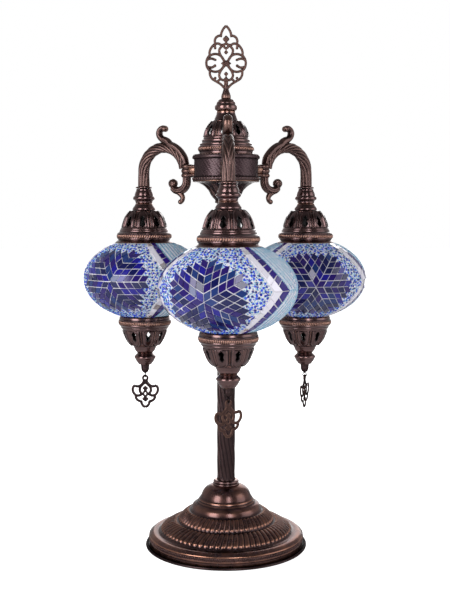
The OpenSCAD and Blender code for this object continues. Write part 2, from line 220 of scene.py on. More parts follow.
def bead_shape(around, levels, square):
    """A unit ball as points and faces, from round at square 1 to boxy near 0."""
    power = lambda v: np.sign(v) * np.abs(v) ** square
    theta = np.arange(around)[None, :] * 2 * math.pi / around
    tilt = np.radians(np.linspace(90, -90, levels + 1))[:, None]
    ring = power(np.cos(tilt))
    axes = [ring * power(np.cos(theta)), ring * power(np.sin(theta)), power(np.sin(tilt)) + 0 * theta]
    return np.stack(axes, axis=-1).reshape(-1, 3), grid_faces(levels + 1, around)


def bead_row(count, r, z, size, square, lean=0.0, slope=0.0):
    """A ring of beads. size is half of each bead outward, along the ring and upward.

    lean tips each bead along the ring, and slope tips it outward, in degrees.
    """
    shape, faces = bead_shape(10, 6, square)
    lean = math.radians(lean)
    slope = math.radians(slope)
    out = shape[:, 0] * size[0]
    along = shape[:, 1] * size[1]
    up = shape[:, 2] * size[2]
    along, up = along * math.cos(lean) + up * math.sin(lean), up * math.cos(lean) - along * math.sin(lean)
    out, up = out * math.cos(slope) - up * math.sin(slope), out * math.sin(slope) + up * math.cos(slope)
    theta = (np.arange(count) * 2 * math.pi / count)[:, None]
    x = (r + out) * np.cos(theta) - along * np.sin(theta)
    y = (r + out) * np.sin(theta) + along * np.cos(theta)
    points = np.stack([x, y, z + up + 0 * theta], axis=-1)
    offsets = np.arange(count)[:, None, None] * len(shape)
    return points.reshape(-1, 3), (faces[None] + offsets).reshape(-1, 4)


def make_object(name, parts, materials, smooth=True, merge=True):
    """One object from parts, each (points, faces) or (points, faces, material number of each face)."""
    points, faces, kinds = [], [], []
    start = 0
    for part in parts:
        p, f = part[0], part[1]
        points.append(p)
        if isinstance(f, list):
            faces += [tuple(int(v) + start for v in face) for face in f]
        else:
            faces += (f + start).tolist()
        kinds += list(part[2]) if len(part) > 2 else [0] * len(f)
        start += len(p)
    mesh = bpy.data.meshes.new(name)
    mesh.from_pydata((np.concatenate(points) * MM).tolist(), [], faces)
    for material in materials:
        mesh.materials.append(material)
    mesh.polygons.foreach_set("material_index", kinds)
    mesh.polygons.foreach_set("use_smooth", [smooth] * len(faces))
    if merge:
        bm = bmesh.new()
        bm.from_mesh(mesh)
        bmesh.ops.remove_doubles(bm, verts=bm.verts, dist=2e-6)
        bmesh.ops.dissolve_degenerate(bm, edges=bm.edges, dist=1e-7)
        bm.to_mesh(mesh)
        bm.free()
    mesh.update()
    obj = bpy.data.objects.new(name, mesh)
    bpy.context.scene.collection.objects.link(obj)
    return obj


def mark_wear_and_shade(obj, reach=1.3, depth=0.3, base=0.42, rise=0.3):
    """Stores how far each point stands out from what is round it: 0 in a groove, where shade is painted near
    black, and 1 on a worn edge, where rubbed copper carries a painted highlight.
    """
    mesh = obj.data
    count = len(mesh.vertices)
    co = np.empty(count * 3)
    mesh.vertices.foreach_get("co", co)
    co = co.reshape(-1, 3) / MM
    normal = np.empty(count * 3)
    mesh.vertices.foreach_get("normal", normal)
    ends = np.empty(len(mesh.edges) * 2, int)
    mesh.edges.foreach_get("vertices", ends)
    a, b = ends.reshape(-1, 2).T
    edge = np.median(np.linalg.norm(co[a] - co[b], axis=1))
    rounds = int(np.clip(2 * (reach / edge) ** 2, 4, 36))
    near = np.maximum(np.bincount(a, minlength=count) + np.bincount(b, minlength=count), 1)[:, None]
    calm = co.copy()
    for _ in range(rounds):
        total = [np.bincount(a, calm[b, k], count) + np.bincount(b, calm[a, k], count) for k in range(3)]
        calm = 0.5 * calm + 0.5 * np.stack(total, axis=1) / near
    height = ((co - calm) * normal.reshape(-1, 3)).sum(axis=1)
    wear_and_shade = mesh.attributes.new("wear_and_shade", "FLOAT", "POINT")
    wear_and_shade.data.foreach_set("value", base + np.where(height > 0, rise, 0.4) * np.tanh(0.9 * height / depth))


def place(obj, body, node_name):
    """The piece rides on its body and stands for this CAD node, which is hidden."""
    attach(obj, body)
    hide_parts(node_name)


def metal_piece(name, parts, material, body, node_name, **wear_and_shade):
    """A bronze piece with its wear, painted groove shade and painted highlight marked, in its place."""
    obj = make_object(name, parts, [material])
    mark_wear_and_shade(obj, **wear_and_shade)
    place(obj, body, node_name)


def lamp_axis(n):
    """Where the axis of lamp n meets the table, from the frame's own globe."""
    low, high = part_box(f"globe_{n}")
    return np.array([(low[0] + high[0]) / 2 / MM, (low[1] + high[1]) / 2 / MM, 0])


def moved(part, offset):
    return (part[0] + offset,) + tuple(part[1:])


def swapped(part, order):
    """The shape with two of its axes exchanged, and its faces turned to match."""
    return part[0][:, order], part[1][:, ::-1]


def turned_about_z(part, degrees):
    c, s = math.cos(math.radians(degrees)), math.sin(math.radians(degrees))
    return (part[0] @ np.array([[c, s, 0], [-s, c, 0], [0, 0, 1]]),) + tuple(part[1:])


# ---- Materials ----


def new_material(name):
    material = bpy.data.materials.new(name)
    material.use_nodes = True
    return material, material.node_tree, material.node_tree.nodes["Principled BSDF"]


def feed(tree, made, inputs):
    """Sets a node's inputs, each to a value or to another node's output."""
    for name, value in inputs.items():
        if isinstance(value, bpy.types.NodeSocket):
            tree.links.new(value, made.inputs[name])
        else:
            made.inputs[name].default_value = value


def node(tree, kind, inputs, out=0, **settings):
    """One output of a new node."""
    made = tree.nodes.new("ShaderNode" + kind)
    for name, value in settings.items():
        setattr(made, name, value)
    feed(tree, made, inputs)
    return made.outputs[out]


def noise(tree, scale, detail):
    """Noise in the object's own space; scale is in bumps per metre."""
    where = node(tree, "TexCoord", {}, "Object")
    inputs = {"Scale": scale, "Detail": detail, "Roughness": 0.55, "Vector": where}
    return node(tree, "TexNoise", inputs, "Fac")


def ramp(tree, source, stops):
    """Colours along a value: stops is a list of (place, colour), with the two ends first."""
    made = tree.nodes.new("ShaderNodeValToRGB")
    line = made.color_ramp
    for (at, colour), element in zip(stops[:2], line.elements):
        element.position = at
        element.color = (*colour, 1)
    for at, colour in stops[2:]:
        line.elements.new(at).color = (*colour, 1)
    feed(tree, made, {"Fac": source})
    return made.outputs["Color"]


def varied(tree, value, other, amount):
    """value + amount * (other - 0.5)"""
    shift = node(tree, "Math", {0: other, 1: amount, 2: -0.5 * amount}, operation="MULTIPLY_ADD")
    return node(tree, "Math", {0: value, 1: shift}, operation="ADD")


def bump(tree, height, distance, strength):
    return node(tree, "Bump", {"Distance": distance, "Strength": strength, "Height": height}, "Normal")


def to_range(tree, source, low, high, start=0.0, end=1.0):
    """The source from start to end, mapped to low to high."""
    inputs = {"Value": source, "From Min": start, "From Max": end, "To Min": low, "To Max": high}
    return node(tree, "MapRange", inputs, "Result")


def bronze(name, stops, rough, coat, edge, grain=3e-5, speckle=0.1):
    """Antique copper: painted shade, near black, in the grooves, brown on the walls, and rubbed copper with a
    painted highlight on what stands out.

    rough is its roughness from and to, edge the grey of its rim reflections, and grain is in metres.
    """
    material, tree, shader = new_material(name)
    # Painted groove shade, wear and painted highlight, read from each piece's mark.
    worn_and_shaded = node(tree, "Attribute", {}, "Fac", attribute_name="wear_and_shade")
    cloud = noise(tree, 70, 4)
    fine = noise(tree, 800, 3)
    value = varied(tree, varied(tree, worn_and_shaded, cloud, 0.28), fine, speckle)
    feed(tree, shader, {
        "Base Color": ramp(tree, value, stops),
        "Roughness": to_range(tree, cloud, *rough),
        "Metallic": 1.0,
        "Coat Weight": coat,
        "Coat Roughness": 0.06,
        "Specular Tint": (edge, edge, edge, 1),
        "Normal": bump(tree, fine, grain, 0.5),
    })
    return material


# Each ramp runs along a piece's mark: near black at the low end is painted shade in the grooves, the browns
# are the metal and its patina, and copper at the high end is rubbed metal with a painted highlight.
SPUN_STOPS = [
    (0.12, (0.012, 0.007, 0.008)),
    (0.95, (0.42, 0.21, 0.13)),
    (0.34, (0.064, 0.036, 0.037)),
    (0.50, (0.124, 0.070, 0.068)),
    (0.70, (0.225, 0.120, 0.092)),
]
CAST_STOPS = [
    (0.12, (0.013, 0.008, 0.009)),
    (0.95, (0.46, 0.25, 0.165)),
    (0.34, (0.050, 0.030, 0.029)),
    (0.50, (0.104, 0.061, 0.055)),
    (0.70, (0.215, 0.120, 0.090)),
]
DARK_STOPS = [
    (0.12, (0.006, 0.004, 0.005)),
    (0.95, (0.26, 0.130, 0.080)),
    (0.38, (0.020, 0.012, 0.014)),
    (0.56, (0.040, 0.024, 0.024)),
    (0.76, (0.100, 0.052, 0.038)),
]
DRUM_STOPS = [
    (0.12, (0.010, 0.006, 0.007)),
    (0.95, (0.25, 0.130, 0.090)),
    (0.34, (0.036, 0.022, 0.025)),
    (0.50, (0.062, 0.040, 0.044)),
    (0.70, (0.105, 0.064, 0.060)),
]
# The copper at this ramp's high end is brightened beyond the rubbed metal's own colour: a painted highlight
# on the crests of the base's ribs.
BASE_STOPS = [
    (0.12, (0.010, 0.006, 0.007)),
    (0.95, (0.62, 0.29, 0.17)),
    (0.36, (0.036, 0.020, 0.021)),
    (0.52, (0.098, 0.049, 0.044)),
    (0.72, (0.30, 0.142, 0.092)),
]
FILIGREE_STOPS = [
    (0.12, (0.010, 0.006, 0.006)),
    (0.95, (0.28, 0.150, 0.092)),
    (0.34, (0.036, 0.021, 0.020)),
    (0.50, (0.076, 0.043, 0.037)),
    (0.70, (0.150, 0.084, 0.060)),
]

spun_bronze = bronze("spun_bronze", SPUN_STOPS, (0.17, 0.31), coat=0.3, edge=0.7)
base_bronze = bronze("base_bronze", BASE_STOPS, (0.20, 0.36), coat=0.2, edge=0.5, speckle=0.05)
drum_bronze = bronze("drum_bronze", DRUM_STOPS, (0.36, 0.5), coat=0.1, edge=0.5, grain=1.2e-4, speckle=0.14)
cast_bronze = bronze("cast_bronze", CAST_STOPS, (0.26, 0.42), coat=0.12, edge=0.7, grain=5e-5, speckle=0.07)
dark_bronze = bronze("dark_bronze", DARK_STOPS, (0.26, 0.42), coat=0.08, edge=0.35, grain=6e-5)
filigree_bronze = bronze("filigree_bronze", FILIGREE_STOPS, (0.30, 0.46), coat=0.0, edge=0.3, speckle=0.2)


def glass(name, colour, rough, metal=0.0, gloss=0.4):
    """Glass laid on pale grout: a deep even colour under a clear gloss."""
    material, tree, shader = new_material(name)
    inputs = {"Base Color": (*colour, 1), "Roughness": rough, "Metallic": metal, "Specular IOR Level": gloss}
    feed(tree, shader, inputs)
    return material


def plain(name, low, high, scale, rough, metal=0.0, grain=0.00005, sheen=0.0):
    """A surface that varies between two colours, with a fine grain."""
    material, tree, shader = new_material(name)
    cloud = noise(tree, scale, 4)
    feed(tree, shader, {
        "Base Color": ramp(tree, cloud, [(0.3, low), (0.7, high)]),
        "Roughness": to_range(tree, cloud, rough - 0.07, rough + 0.07),
        "Metallic": metal,
        "Sheen Weight": sheen,
        "Normal": bump(tree, noise(tree, scale * 8, 2), grain, 0.6),
    })
    return material


def finish_kept_nodes():
    """Better materials for the CAD nodes that stay as they are."""
    felt = plain("felt", (0.010, 0.010, 0.012), (0.030, 0.029, 0.032), 300, 0.9, sheen=0.5, grain=0.0003)
    steel = plain("plated_steel", (0.50, 0.48, 0.43), (0.66, 0.64, 0.58), 120, 0.32, metal=1.0)
    iron = plain("cast_iron", (0.045, 0.046, 0.050), (0.10, 0.10, 0.105), 160, 0.7, grain=0.0003)
    rubber = plain("rubber", (0.012, 0.012, 0.012), (0.026, 0.026, 0.026), 200, 0.6)
    sleeve = plain("wire_sleeve", (0.42, 0.31, 0.13), (0.62, 0.50, 0.24), 500, 0.5)
    phenolic = plain("lampholder_plastic", (0.010, 0.010, 0.011), (0.022, 0.021, 0.022), 150, 0.35)
    opal = plain("bulb_glass", (0.80, 0.79, 0.75), (0.88, 0.87, 0.83), 40, 0.25)
    frosted = plain("blown_glass", (0.42, 0.52, 0.64), (0.55, 0.65, 0.76), 60, 0.35)
    kept = {"base_felt": felt, "base_weight": iron, "cord_bush": rubber, "arm_wires": sleeve}
    kept |= dict.fromkeys(("rod_washer", "rod_nut", "threaded_rod", "arm_nuts"), steel)
    of_lamp = {"nipple": steel, "lampholder": phenolic, "bulb": opal, "globe": frosted}
    of_lamp["hook_eye"] = dark_bronze
    for n in LAMPS:
        kept |= {f"{part}_{n}": material for part, material in of_lamp.items()}
    for name, material in kept.items():
        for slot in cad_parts[name].material_slots:
            slot.material = material


# ---- Base and pole ----


def ribs(count, s0, s1, height, lean):
    """Relief of rounded bars that run down a band from s0 to s1, each with round ends."""

    def relief(theta, s, r, z):
        turn = theta * count / (2 * math.pi) + lean * (s - s0) / (s1 - s0)
        across = (turn - np.floor(turn) - 0.5) * 2 * math.pi * r / count
        half = 0.46 * 2 * math.pi * r / count
        beyond = np.maximum(np.maximum(s0 + half - s, s - s1 + half), 0)
        off = np.hypot(across, beyond) / half
        return height * np.sqrt(np.clip(1 - off**2, 0, 1)) * (s > s0) * (s < s1)

    return relief


def stacked(*reliefs):
    return lambda theta, s, r, z: sum(relief(theta, s, r, z) for relief in reliefs)


def base_cover():
    """The stepped cover: two plain domes, two ribbed bands and a rim with a row of beads."""
    outline = [(PIPE_HOLE, 79.6)] + bow((17.2, 79.6), (32.6, 64.2), 3.2, 12)
    outline += [(33.6, 62.6), (35.0, 61.6), (35.3, 60.2), (34.6, 59.4), (36.6, 59.0), (36.9, 57.8)]
    outline += bow((37.2, 57.0), (45, 48), 1.9, 10) + [(46.2, 46.9)]
    outline += bow((46.8, 46.2), (61.4, 34.2), 1.2, 12) + [(62.4, 33.1)]
    outline += bow((63, 32.6), (84, 21.6), 1.4, 14)
    outline += [(85.6, 20.0), (88.5, 19.3)] + bow((90.0, 19.5), (98.6, 16.2), 1.3, 8)
    outline += [(99.4, 15.6), (99.2, 14.9), (98.6, 14.6), (98.6, 10.0), (99.2, 9.8), (99.2, 9.2)]
    outline = rounded(outline + [(98.4, 8.8), (98.4, 3.55)], 2)
    outer = spaced(outline, 1.15)
    s = lengths(outer)
    at = lambda point: s[np.argmin(np.hypot(*(outer - np.array(point)).T))]
    relief = stacked(
        ribs(60, at((46.8, 46.2)), at((61.4, 34.2)), 1.7, 0.5),
        ribs(70, at((63, 32.6)), at((84, 21.6)), 1.9, 0.7),
    )
    inner = [(96.6, 3.55), (96.6, 10.5), (86, 17.2), (62, 30), (45, 44), (33, 57), (16, 76.8)]
    both = np.concatenate([outer, rounded(inner + [(PIPE_HOLE, 77.4)], 1)])
    last = len(outer)

    def outside_only(theta, s, r, z):
        height = relief(theta, s, r, z)
        height[last:] = 0
        return height

    shell = revolve(both, 600, outside_only, loop=True)
    wear_and_shade = {"reach": 1.6, "depth": 0.5, "base": 0.5, "rise": 0.36}
    metal_piece("base_cover_shell", [shell], base_bronze, "root", "base_cover", **wear_and_shade)
    beads = bead_row(250, 98.7, 12.3, (0.95, 1.08, 2.15), square=0.9)
    wear_and_shade = {"reach": 0.5, "depth": 0.2, "base": 0.3, "rise": 0.16}
    metal_piece("base_rim_beads", [beads], base_bronze, "root", "base_cover", **wear_and_shade)


def base_plate():
    """The bottom plate with its rolled edge, coppery from wear and a painted highlight."""
    edge = arc(101.9, 2.7, 1.7, 110, -100, step=0.35).tolist()
    line = [(PIPE_HOLE, 14), (20, 14), (22, 13.4), (22.2, 4.2), (23.4, 3.45), (60, 3.45), (98, 3.45)]
    line += [(100.6, 3.5)] + edge
    line += [(99.5, 1.55), (21.4, 1.55), (20.1, 2.2), (20.1, 11.6), (19.4, 12), (PIPE_HOLE, 12)]
    plate = revolve(rounded(line, 2, 0.6), 240, loop=True)
    metal_piece("base_plate_rolled", [plate], dark_bronze, "root", "base_plate", reach=1.2, depth=0.22)


def collar():
    line = [
        (11.7, 86.1), (14.2, 86.1), (15, 85.6), (16.2, 85.2), (16.6, 84), (16.3, 82.9), (15.5, 82.5),
        (15.5, 82.1), (16.4, 81.9), (17.2, 81.2), (17.2, 80.2), (16.6, 79.7), (11.7, 79.7),
    ]
    ring = revolve(rounded(line, 3), 128, loop=True)
    metal_piece("pole_collar_ring", [ring], spun_bronze, "root", "pole_collar")


def pole():
    """A pole with twelve round flutes that climb to the left."""
    count = 12
    climb = 2 * math.pi / 375

    def flutes(theta, s, r, z):
        turn = (theta + climb * z) * count / (2 * math.pi)
        across = np.abs(turn - np.floor(turn) - 0.5) * 2
        fade = ease(z, 86.2, 90) * ease(z, 439.7, 436)
        return np.where(r > 11, -1.5 * across**2.2 * np.maximum(fade, 0.05), 0)

    z = np.linspace(439.65, 79.7, 230)
    outer = np.stack([np.full(len(z), 11.6), z], axis=1)
    inner = np.array([(9.6, 79.7), (9.6, 439.65)])
    tube = revolve(np.concatenate([outer, inner]), 168, flutes, loop=True)
    metal_piece("pole_fluted", [tube], dark_bronze, "root", "pole", reach=1.6, depth=0.45, base=0.5)


# ---- Pierced caps ----


def keyhole_outline(tall, wide, flip):
    """A small diamond above a bigger one, as points from their middle; flip turns it upside down."""
    right = [(0, -0.5), (0.38, -0.26), (0.25, -0.08), (0.5, 0.17), (0.33, 0.31), (0, 0.5)]
    ring = right + [(-x, y) for x, y in right[-2:0:-1]]
    return np.array([(x * wide, (y + 0.07) * tall * (-1 if flip else 1)) for x, y in ring])


def ray_to_outline(ring, angle):
    """Where a ray from the origin at this angle leaves the outline."""
    way = np.array([math.cos(angle), math.sin(angle)])
    best = 0.0
    for a, b in zip(ring, np.roll(ring, -1, axis=0)):
        edge = b - a
        cross = way[0] * edge[1] - way[1] * edge[0]
        if abs(cross) < 1e-12:
            continue
        along = (a[0] * edge[1] - a[1] * edge[0]) / cross
        t = (a[0] * way[1] - a[1] * way[0]) / cross
        if along > 0 and -1e-9 <= t <= 1 + 1e-9:
            best = max(best, along)
    return way * best


def snapped(outline, ring):
    """The nearest point of the outline moves to each corner of the ring, so corners stay crisp."""
    outline = outline.copy()
    for corner in ring:
        outline[np.argmin(np.hypot(*(outline - corner).T))] = corner
    return outline


def arch_relief(x, t, half):
    """Height of a raised arch on one lobe: x across, t from its round end, half of the lobe's width."""
    rim, width, reach = 1.15, 0.85, 7.0
    crown = np.sqrt(np.clip(1 - (np.clip(reach - t, 0, reach) / reach) ** 2, 0, 1))
    wide = 0.9 * half * crown
    into = (wide - np.abs(x)) * (0.45 + 0.55 * crown)
    tube = rim * np.exp(-(((into - 1.0) / width) ** 2))
    panel = 0.75 * ease(into, 1.6, 4.2)
    channel = -0.7 * (1 - ease(into, -0.7, 0.25))
    return tube + panel + channel


def pierced_shell(outer, inner, zone, key, first, flip):
    """A turned shell whose zone, between two heights, holds nine raised arches with a keyhole in each.

    outer runs from top to bottom and inner from bottom to top. key is (height, tall, wide).
    """
    columns, side, rings, inner_rings = 24, 30, 20, 3
    outer = rounded(outer, 3)
    s = lengths(outer)
    normal = line_normals(outer)
    down = -outer[:, 1]
    s0, s1, key_s = (np.interp(-height, down, s) for height in (zone[0], zone[1], key[0]))
    r_at = lambda v: np.interp(v, s, outer[:, 0])
    half_angle = math.pi / LOBES

    def surface(angle, v, height):
        nr = np.interp(v, s, normal[:, 0])
        nz = np.interp(v, s, normal[:, 1])
        r = r_at(v) + nr * height
        z = np.interp(v, s, outer[:, 1]) + nz * height
        return np.stack([r * np.cos(angle), r * np.sin(angle), z], axis=-1)

    edge = [(u, s0) for u in np.linspace(-1, 1, columns + 1)[:-1]]
    edge += [(1, v) for v in np.linspace(s0, s1, side + 1)[:-1]]
    edge += [(u, s1) for u in np.linspace(1, -1, columns + 1)[:-1]]
    edge += [(-1, v) for v in np.linspace(s1, s0, side + 1)[:-1]]
    edge = np.array([(u * half_angle * r_at(v), v) for u, v in edge])
    ring = keyhole_outline(key[1], key[2], flip)
    middle = np.array([0, key_s])
    hole = np.array([ray_to_outline(ring, math.atan2(*(p - middle)[::-1])) for p in edge])
    hole = snapped(hole, ring) + middle

    def patch(count, lift, relief):
        t = np.linspace(0, 1, count + 1)[:, None, None]
        flat = hole[None] + (edge - hole)[None] * t
        x, v = flat[..., 0], flat[..., 1]
        height = np.full(x.shape, lift)
        if relief:
            half = half_angle * r_at(v)
            from_end = s1 - v if flip else v - s0
            border = ease(v - s0, 0, 0.7) * ease(s1 - v, 0, 0.7)
            height = height + arch_relief(x, from_end, half) * border
        return surface(x / r_at(v), v, height), x.shape

    parts = []
    count = len(edge)
    front, shape = patch(rings, 0.0, True)
    back, back_shape = patch(inner_rings, -CAST_THICKNESS, False)
    lobe_parts = [
        (front.reshape(-1, 3), grid_faces(shape[0], count)),
        (back.reshape(-1, 3), grid_faces(back_shape[0], count)[:, ::-1]),
        (np.concatenate([front[0], back[0]]), grid_faces(2, count)[:, ::-1]),
    ]
    for lobe in range(LOBES):
        parts += [turned_about_z(part, first + 360 * lobe / LOBES) for part in lobe_parts]
    around = LOBES * columns
    turn = first - 180 / LOBES
    above = np.concatenate([outer[s < s0 - 1e-3], [(r_at(s0), zone[0])]])
    below = np.concatenate([[(r_at(s1), zone[1])], outer[s > s1 + 1e-3]])
    inner_top = surface(0, s0, -CAST_THICKNESS)[[0, 2]]
    inner_low = surface(0, s1, -CAST_THICKNESS)[[0, 2]]
    inner = rounded(inner, 1)
    split_low = inner[inner[:, 1] < inner_low[1] - 0.2]
    split_top = inner[inner[:, 1] > inner_top[1] + 0.2]
    lower = np.concatenate([below, split_low, [inner_low]])
    upper = np.concatenate([[inner_top], split_top, above])
    parts.append(revolve(lower, around, turn=turn))
    parts.append(revolve(upper, around, turn=turn))
    return parts


CAP_LINE = [
    (11.2, 440.4), (11.8, 438.4), (13.4, 436.4), (14.8, 434.4), (15.4, 433.0), (15.0, 432.0),
    (16.4, 431.3), (19.3, 429.5), (21.9, 426.8), (24.8, 423), (26.9, 418), (28.3, 413.6), (29.4, 409.4),
    (30.0, 408.4), (30.6, 408.0), (31.3, 407.2), (31.2, 406.2), (32.2, 405.4), (32.6, 404.4),
    (32.4, 403.4), (34.4, 402.2), (35.6, 401.2), (36.0, 400.9), (35.4, 400.2), (35.2, 397.4),
    (35.2, 394.8), (35.6, 394.2), (35.3, 393.4), (34.5, 392.9), (34.4, 392.6), (35.6, 391.4),
    (38.9, 389.2), (39.0, 388.9),
]
CAP_INNER = [
    (37.4, 389.3), (33.6, 391.8), (33.2, 397), (32.4, 400.6), (30.6, 402.6), (29.2, 405.4), (27.4, 409),
    (14.6, 429.6), (11, 432), (9.6, 436), (PIPE_HOLE, 436), (PIPE_HOLE, 440.4),
]


def upper_cap(n):
    parts = pierced_shell(CAP_LINE, CAP_INNER, (430.6, 408.8), (417.4, 16.4, 7.4), CAP_FIRST[n], False)
    parts.append(bead_row(72, 35.2, 397.3, (1.15, 1.32, 2.8), square=0.9, lean=16))
    parts = [moved(p, lamp_axis(n)) for p in parts]
    metal_piece(f"upper_cap_{n}_pierced", parts, spun_bronze, f"shade_{n}", f"upper_cap_{n}", depth=0.42)


BOWL_LINE = [
    (32.0, 291.7), (33.2, 291.0), (33.6, 290.0), (33.6, 288.0), (34.4, 287.0), (34.8, 286.5),
    (34.2, 286.0), (34.1, 283.4), (34.0, 281.0), (34.4, 280.4), (33.9, 279.8), (32.8, 278.8),
    (31.6, 277.6), (31.9, 276.8), (31.5, 276.0), (30.2, 275.2), (30.4, 274.4), (29.4, 273.6),
    (28.8, 272.0), (28.4, 270.2), (27.7, 268), (26.7, 266), (24.7, 260.4), (21.3, 255.2), (18.2, 252.4),
    (16.6, 251.6), (15.4, 251.4), (15.3, 250.4), (14.5, 248.8), (13, 245), (11.2, 243.2), (10.6, 242.2),
]
BOWL_INNER = [
    (2.6, 242.2), (2.6, 247.4), (9, 247.4), (14.5, 252.6), (26.5, 270), (28.2, 275), (31, 280),
    (31.4, 287), (31, 291.7),
]


def lower_cap(n):
    parts = pierced_shell(BOWL_LINE, BOWL_INNER, (273.2, 252.2), (265.2, 14.6, 6.4), BOWL_FIRST[n], True)
    parts.append(bead_row(90, 34.1, 283.4, (0.95, 1.1, 2.5), square=0.9, lean=16))
    top_strip = [(30.9, 291.6), (31.0, 291.7), (32.0, 291.7), (32.1, 291.6)]
    parts.append(revolve(top_strip, 216, loop=True))
    parts = [moved(p, lamp_axis(n)) for p in parts]
    metal_piece(f"lower_cap_{n}_pierced", parts, spun_bronze, f"shade_{n}", f"lower_cap_{n}", depth=0.42)


DOME_LINE = [
    (34.4, 500.45), (33.9, 501.6), (33.8, 503.6), (34.5, 504.2), (34.9, 504.7), (34.3, 505.3),
    (34.2, 508), (34.3, 509.2), (34.7, 509.9), (34.2, 510.6), (33.2, 511.4), (33.6, 512.4),
    (33.2, 513.6), (31.4, 514.8), (30.6, 516.2), (30.9, 517.4), (30.2, 518.8), (28.6, 519.6),
    (29.0, 520.6), (28.4, 521.6), (28.2, 522.4), (27.6, 525.4), (26.3, 530.5), (23.6, 535.7),
    (19.7, 539.8), (16.8, 542.4), (15.4, 543.2), (15.0, 544.4), (13.9, 546.2), (13.1, 548.4),
    (11.8, 551.4), (11.8, 554.5),
]
DOME_INNER = [
    (32.4, 500.45), (31.6, 505), (31.2, 511), (27, 519), (26, 524), (14, 541.6), (8, 543), (PIPE_HOLE, 544),
    (PIPE_HOLE, 554.5),
]


def hub_dome():
    parts = pierced_shell(DOME_LINE[::-1], DOME_INNER, (542.0, 522.0), (530.8, 15.4, 7.0), DOME_FIRST, False)
    parts.append(bead_row(84, 34.3, 507.2, (1.0, 1.1, 2.3), square=0.9, lean=12))
    metal_piece("hub_dome_pierced", parts, spun_bronze, "root", "hub_dome", depth=0.42)


# ---- Hub ----


def hub_bell():
    """The bell under the drum, with leaf folds that spread to its rim."""
    outside = [
        (41.6, 467.55), (42.0, 466.9), (41.6, 466.2), (38.0, 465.8), (33.4, 465.3), (29.2, 463.6),
        (25.4, 460.3), (22.3, 456.6), (20.6, 453.6), (18.6, 450.4), (17.8, 448.4), (16.6, 446.6),
        (14.4, 444.6), (13.4, 443.2), (14.1, 442), (14.0, 440.6), (13.4, 439.75), (PIPE_HOLE, 439.75),
    ]
    inside = [(PIPE_HOLE, 446), (17.6, 452.6), (21.6, 460), (25.4, 463.4), (29.2, 466), (36, 467.55)]
    outer = spaced(rounded(outside, 3), 0.9)
    line = np.concatenate([outer, rounded(inside, 1)])

    def folds(theta, s, r, z):
        band = ease(z, 447.5, 451) * ease(z, 466, 464)
        wide = np.abs(np.sin(5 * theta + 0.12 * (z - 455)))
        fine = np.abs(np.sin(15 * theta + 0.12 * (z - 455)))
        height = band * (1.5 * wide**0.7 + 0.35 * fine - 1.1)
        height[len(outer):] = 0
        return height

    bell = revolve(line, 240, folds, loop=True)
    metal_piece("hub_bell_leaves", [bell], cast_bronze, "root", "hub_bell", depth=0.5)


def hammered(theta, z, amount):
    """A gently uneven surface, the same every run."""
    waves = [(31, 2.1, 0.4), (43, -1.7, 1.9), (57, 1.1, 3.1), (24, -2.6, 5.0), (67, 2.4, 0.9), (38, 0.7, 4.1)]
    return amount * sum(np.sin(k * theta + m * z + p) for k, m, p in waves) / 3


def hub_drum():
    outer = [
        (PIPE_HOLE, 500.4), (36.5, 500.4), (38, 500.35), (41.3, 499.3), (42.2, 498.6), (42.5, 497.2),
        (42.4, 495.6), (41.8, 495.0), (40.6, 494.7), (40.2, 494.0), (40.1, 489), (40.1, 484),
        (40.1, 478), (40.1, 473), (40.6, 472.2), (42.0, 471.9), (42.4, 471.2), (42.4, 469.2),
        (42.0, 468.2), (41.6, 467.65),
    ]
    inner = [(38.1, 467.65), (38.1, 498.2), (PIPE_HOLE, 498.4)]
    top = spaced(rounded(outer, 3, 1.0), 0.7)
    last = len(top)

    def beaten(theta, s, r, z):
        height = hammered(theta, z, 0.16) * ease(z, 472.4, 474) * ease(z, 494.6, 493) * (r < 40.5) * (r > 39)
        height[last:] = 0
        return height

    parts = [
        revolve(np.concatenate([top, rounded(inner, 1, 0.5)]), 320, beaten, loop=True),
        bead_row(58, 40.3, 499.35, (0.85, 1.5, 0.9), square=0.6, slope=-24),
        bead_row(58, 42.1, 470.2, (0.8, 1.5, 1.15), square=0.6),
    ]
    metal_piece("hub_drum_beaten", parts, drum_bronze, "root", "hub_drum", reach=1.2)


def hub_cap():
    line = [
        (2.9, 569.6), (6.6, 569.6), (8.4, 569.0), (9.8, 567.8), (10.3, 566.4), (11.4, 565.8),
        (12.0, 564.2), (12.2, 562.6), (13.4, 561.6), (14.1, 560.4), (14.3, 558.6), (14.1, 556.9),
        (13.2, 555.4), (12.2, 554.65), (PIPE_HOLE, 554.65), (PIPE_HOLE, 562.4), (2.9, 562.4),
    ]
    metal_piece("hub_cap_turned", [revolve(rounded(line, 3), 96, loop=True)], spun_bronze, "root", "hub_cap")


# ---- Flat filigree: finial and pendants ----


def strand(points, width, thick, closed=False):
    """A cast strand along a curve in the X-Z plane, with a softly squared section."""
    path = smooth_curve(points, 0.45, closed)

    def section(theta, s, length):
        soft = 0.72
        c, n = np.cos(theta), np.sin(theta)
        grow = 1 / np.maximum(np.abs(c) ** (2 / soft) + np.abs(n) ** (2 / soft), 1e-9) ** (soft / 2)
        return 0.5 * width * grow + 0 * s, 0.5 * thick * grow + 0 * s

    return sweep(path, section, 16, closed)


def lozenge(x, z, half_x, half_z, thick):
    """A pillowed diamond."""
    half = [(1, 0), (0.56, 0.56), (0, 1), (-0.56, 0.56)]
    corners = [(a * half_x, b * half_z) for a, b in half + [(-a, -b) for a, b in half]]
    ring = smooth_curve(corners, 0.6, closed=True)
    rows = []
    for depth, grow in ((0.5, 0.55), (0.34, 0.9), (0, 1.0), (-0.34, 0.9), (-0.5, 0.55)):
        flat = ring * grow
        rows.append(np.stack([x + flat[:, 0], np.full(len(ring), depth * thick), z + flat[:, 1]], axis=1))
    points = np.concatenate(rows)
    return points, capped(grid_faces(len(rows), len(ring))[:, ::-1], len(ring), len(points))


def mirrored(points, width, thick):
    """A strand and its mirror image across the middle."""
    return [strand(side, width, thick) for side in (points, [(-x, z) for x, z in points])]


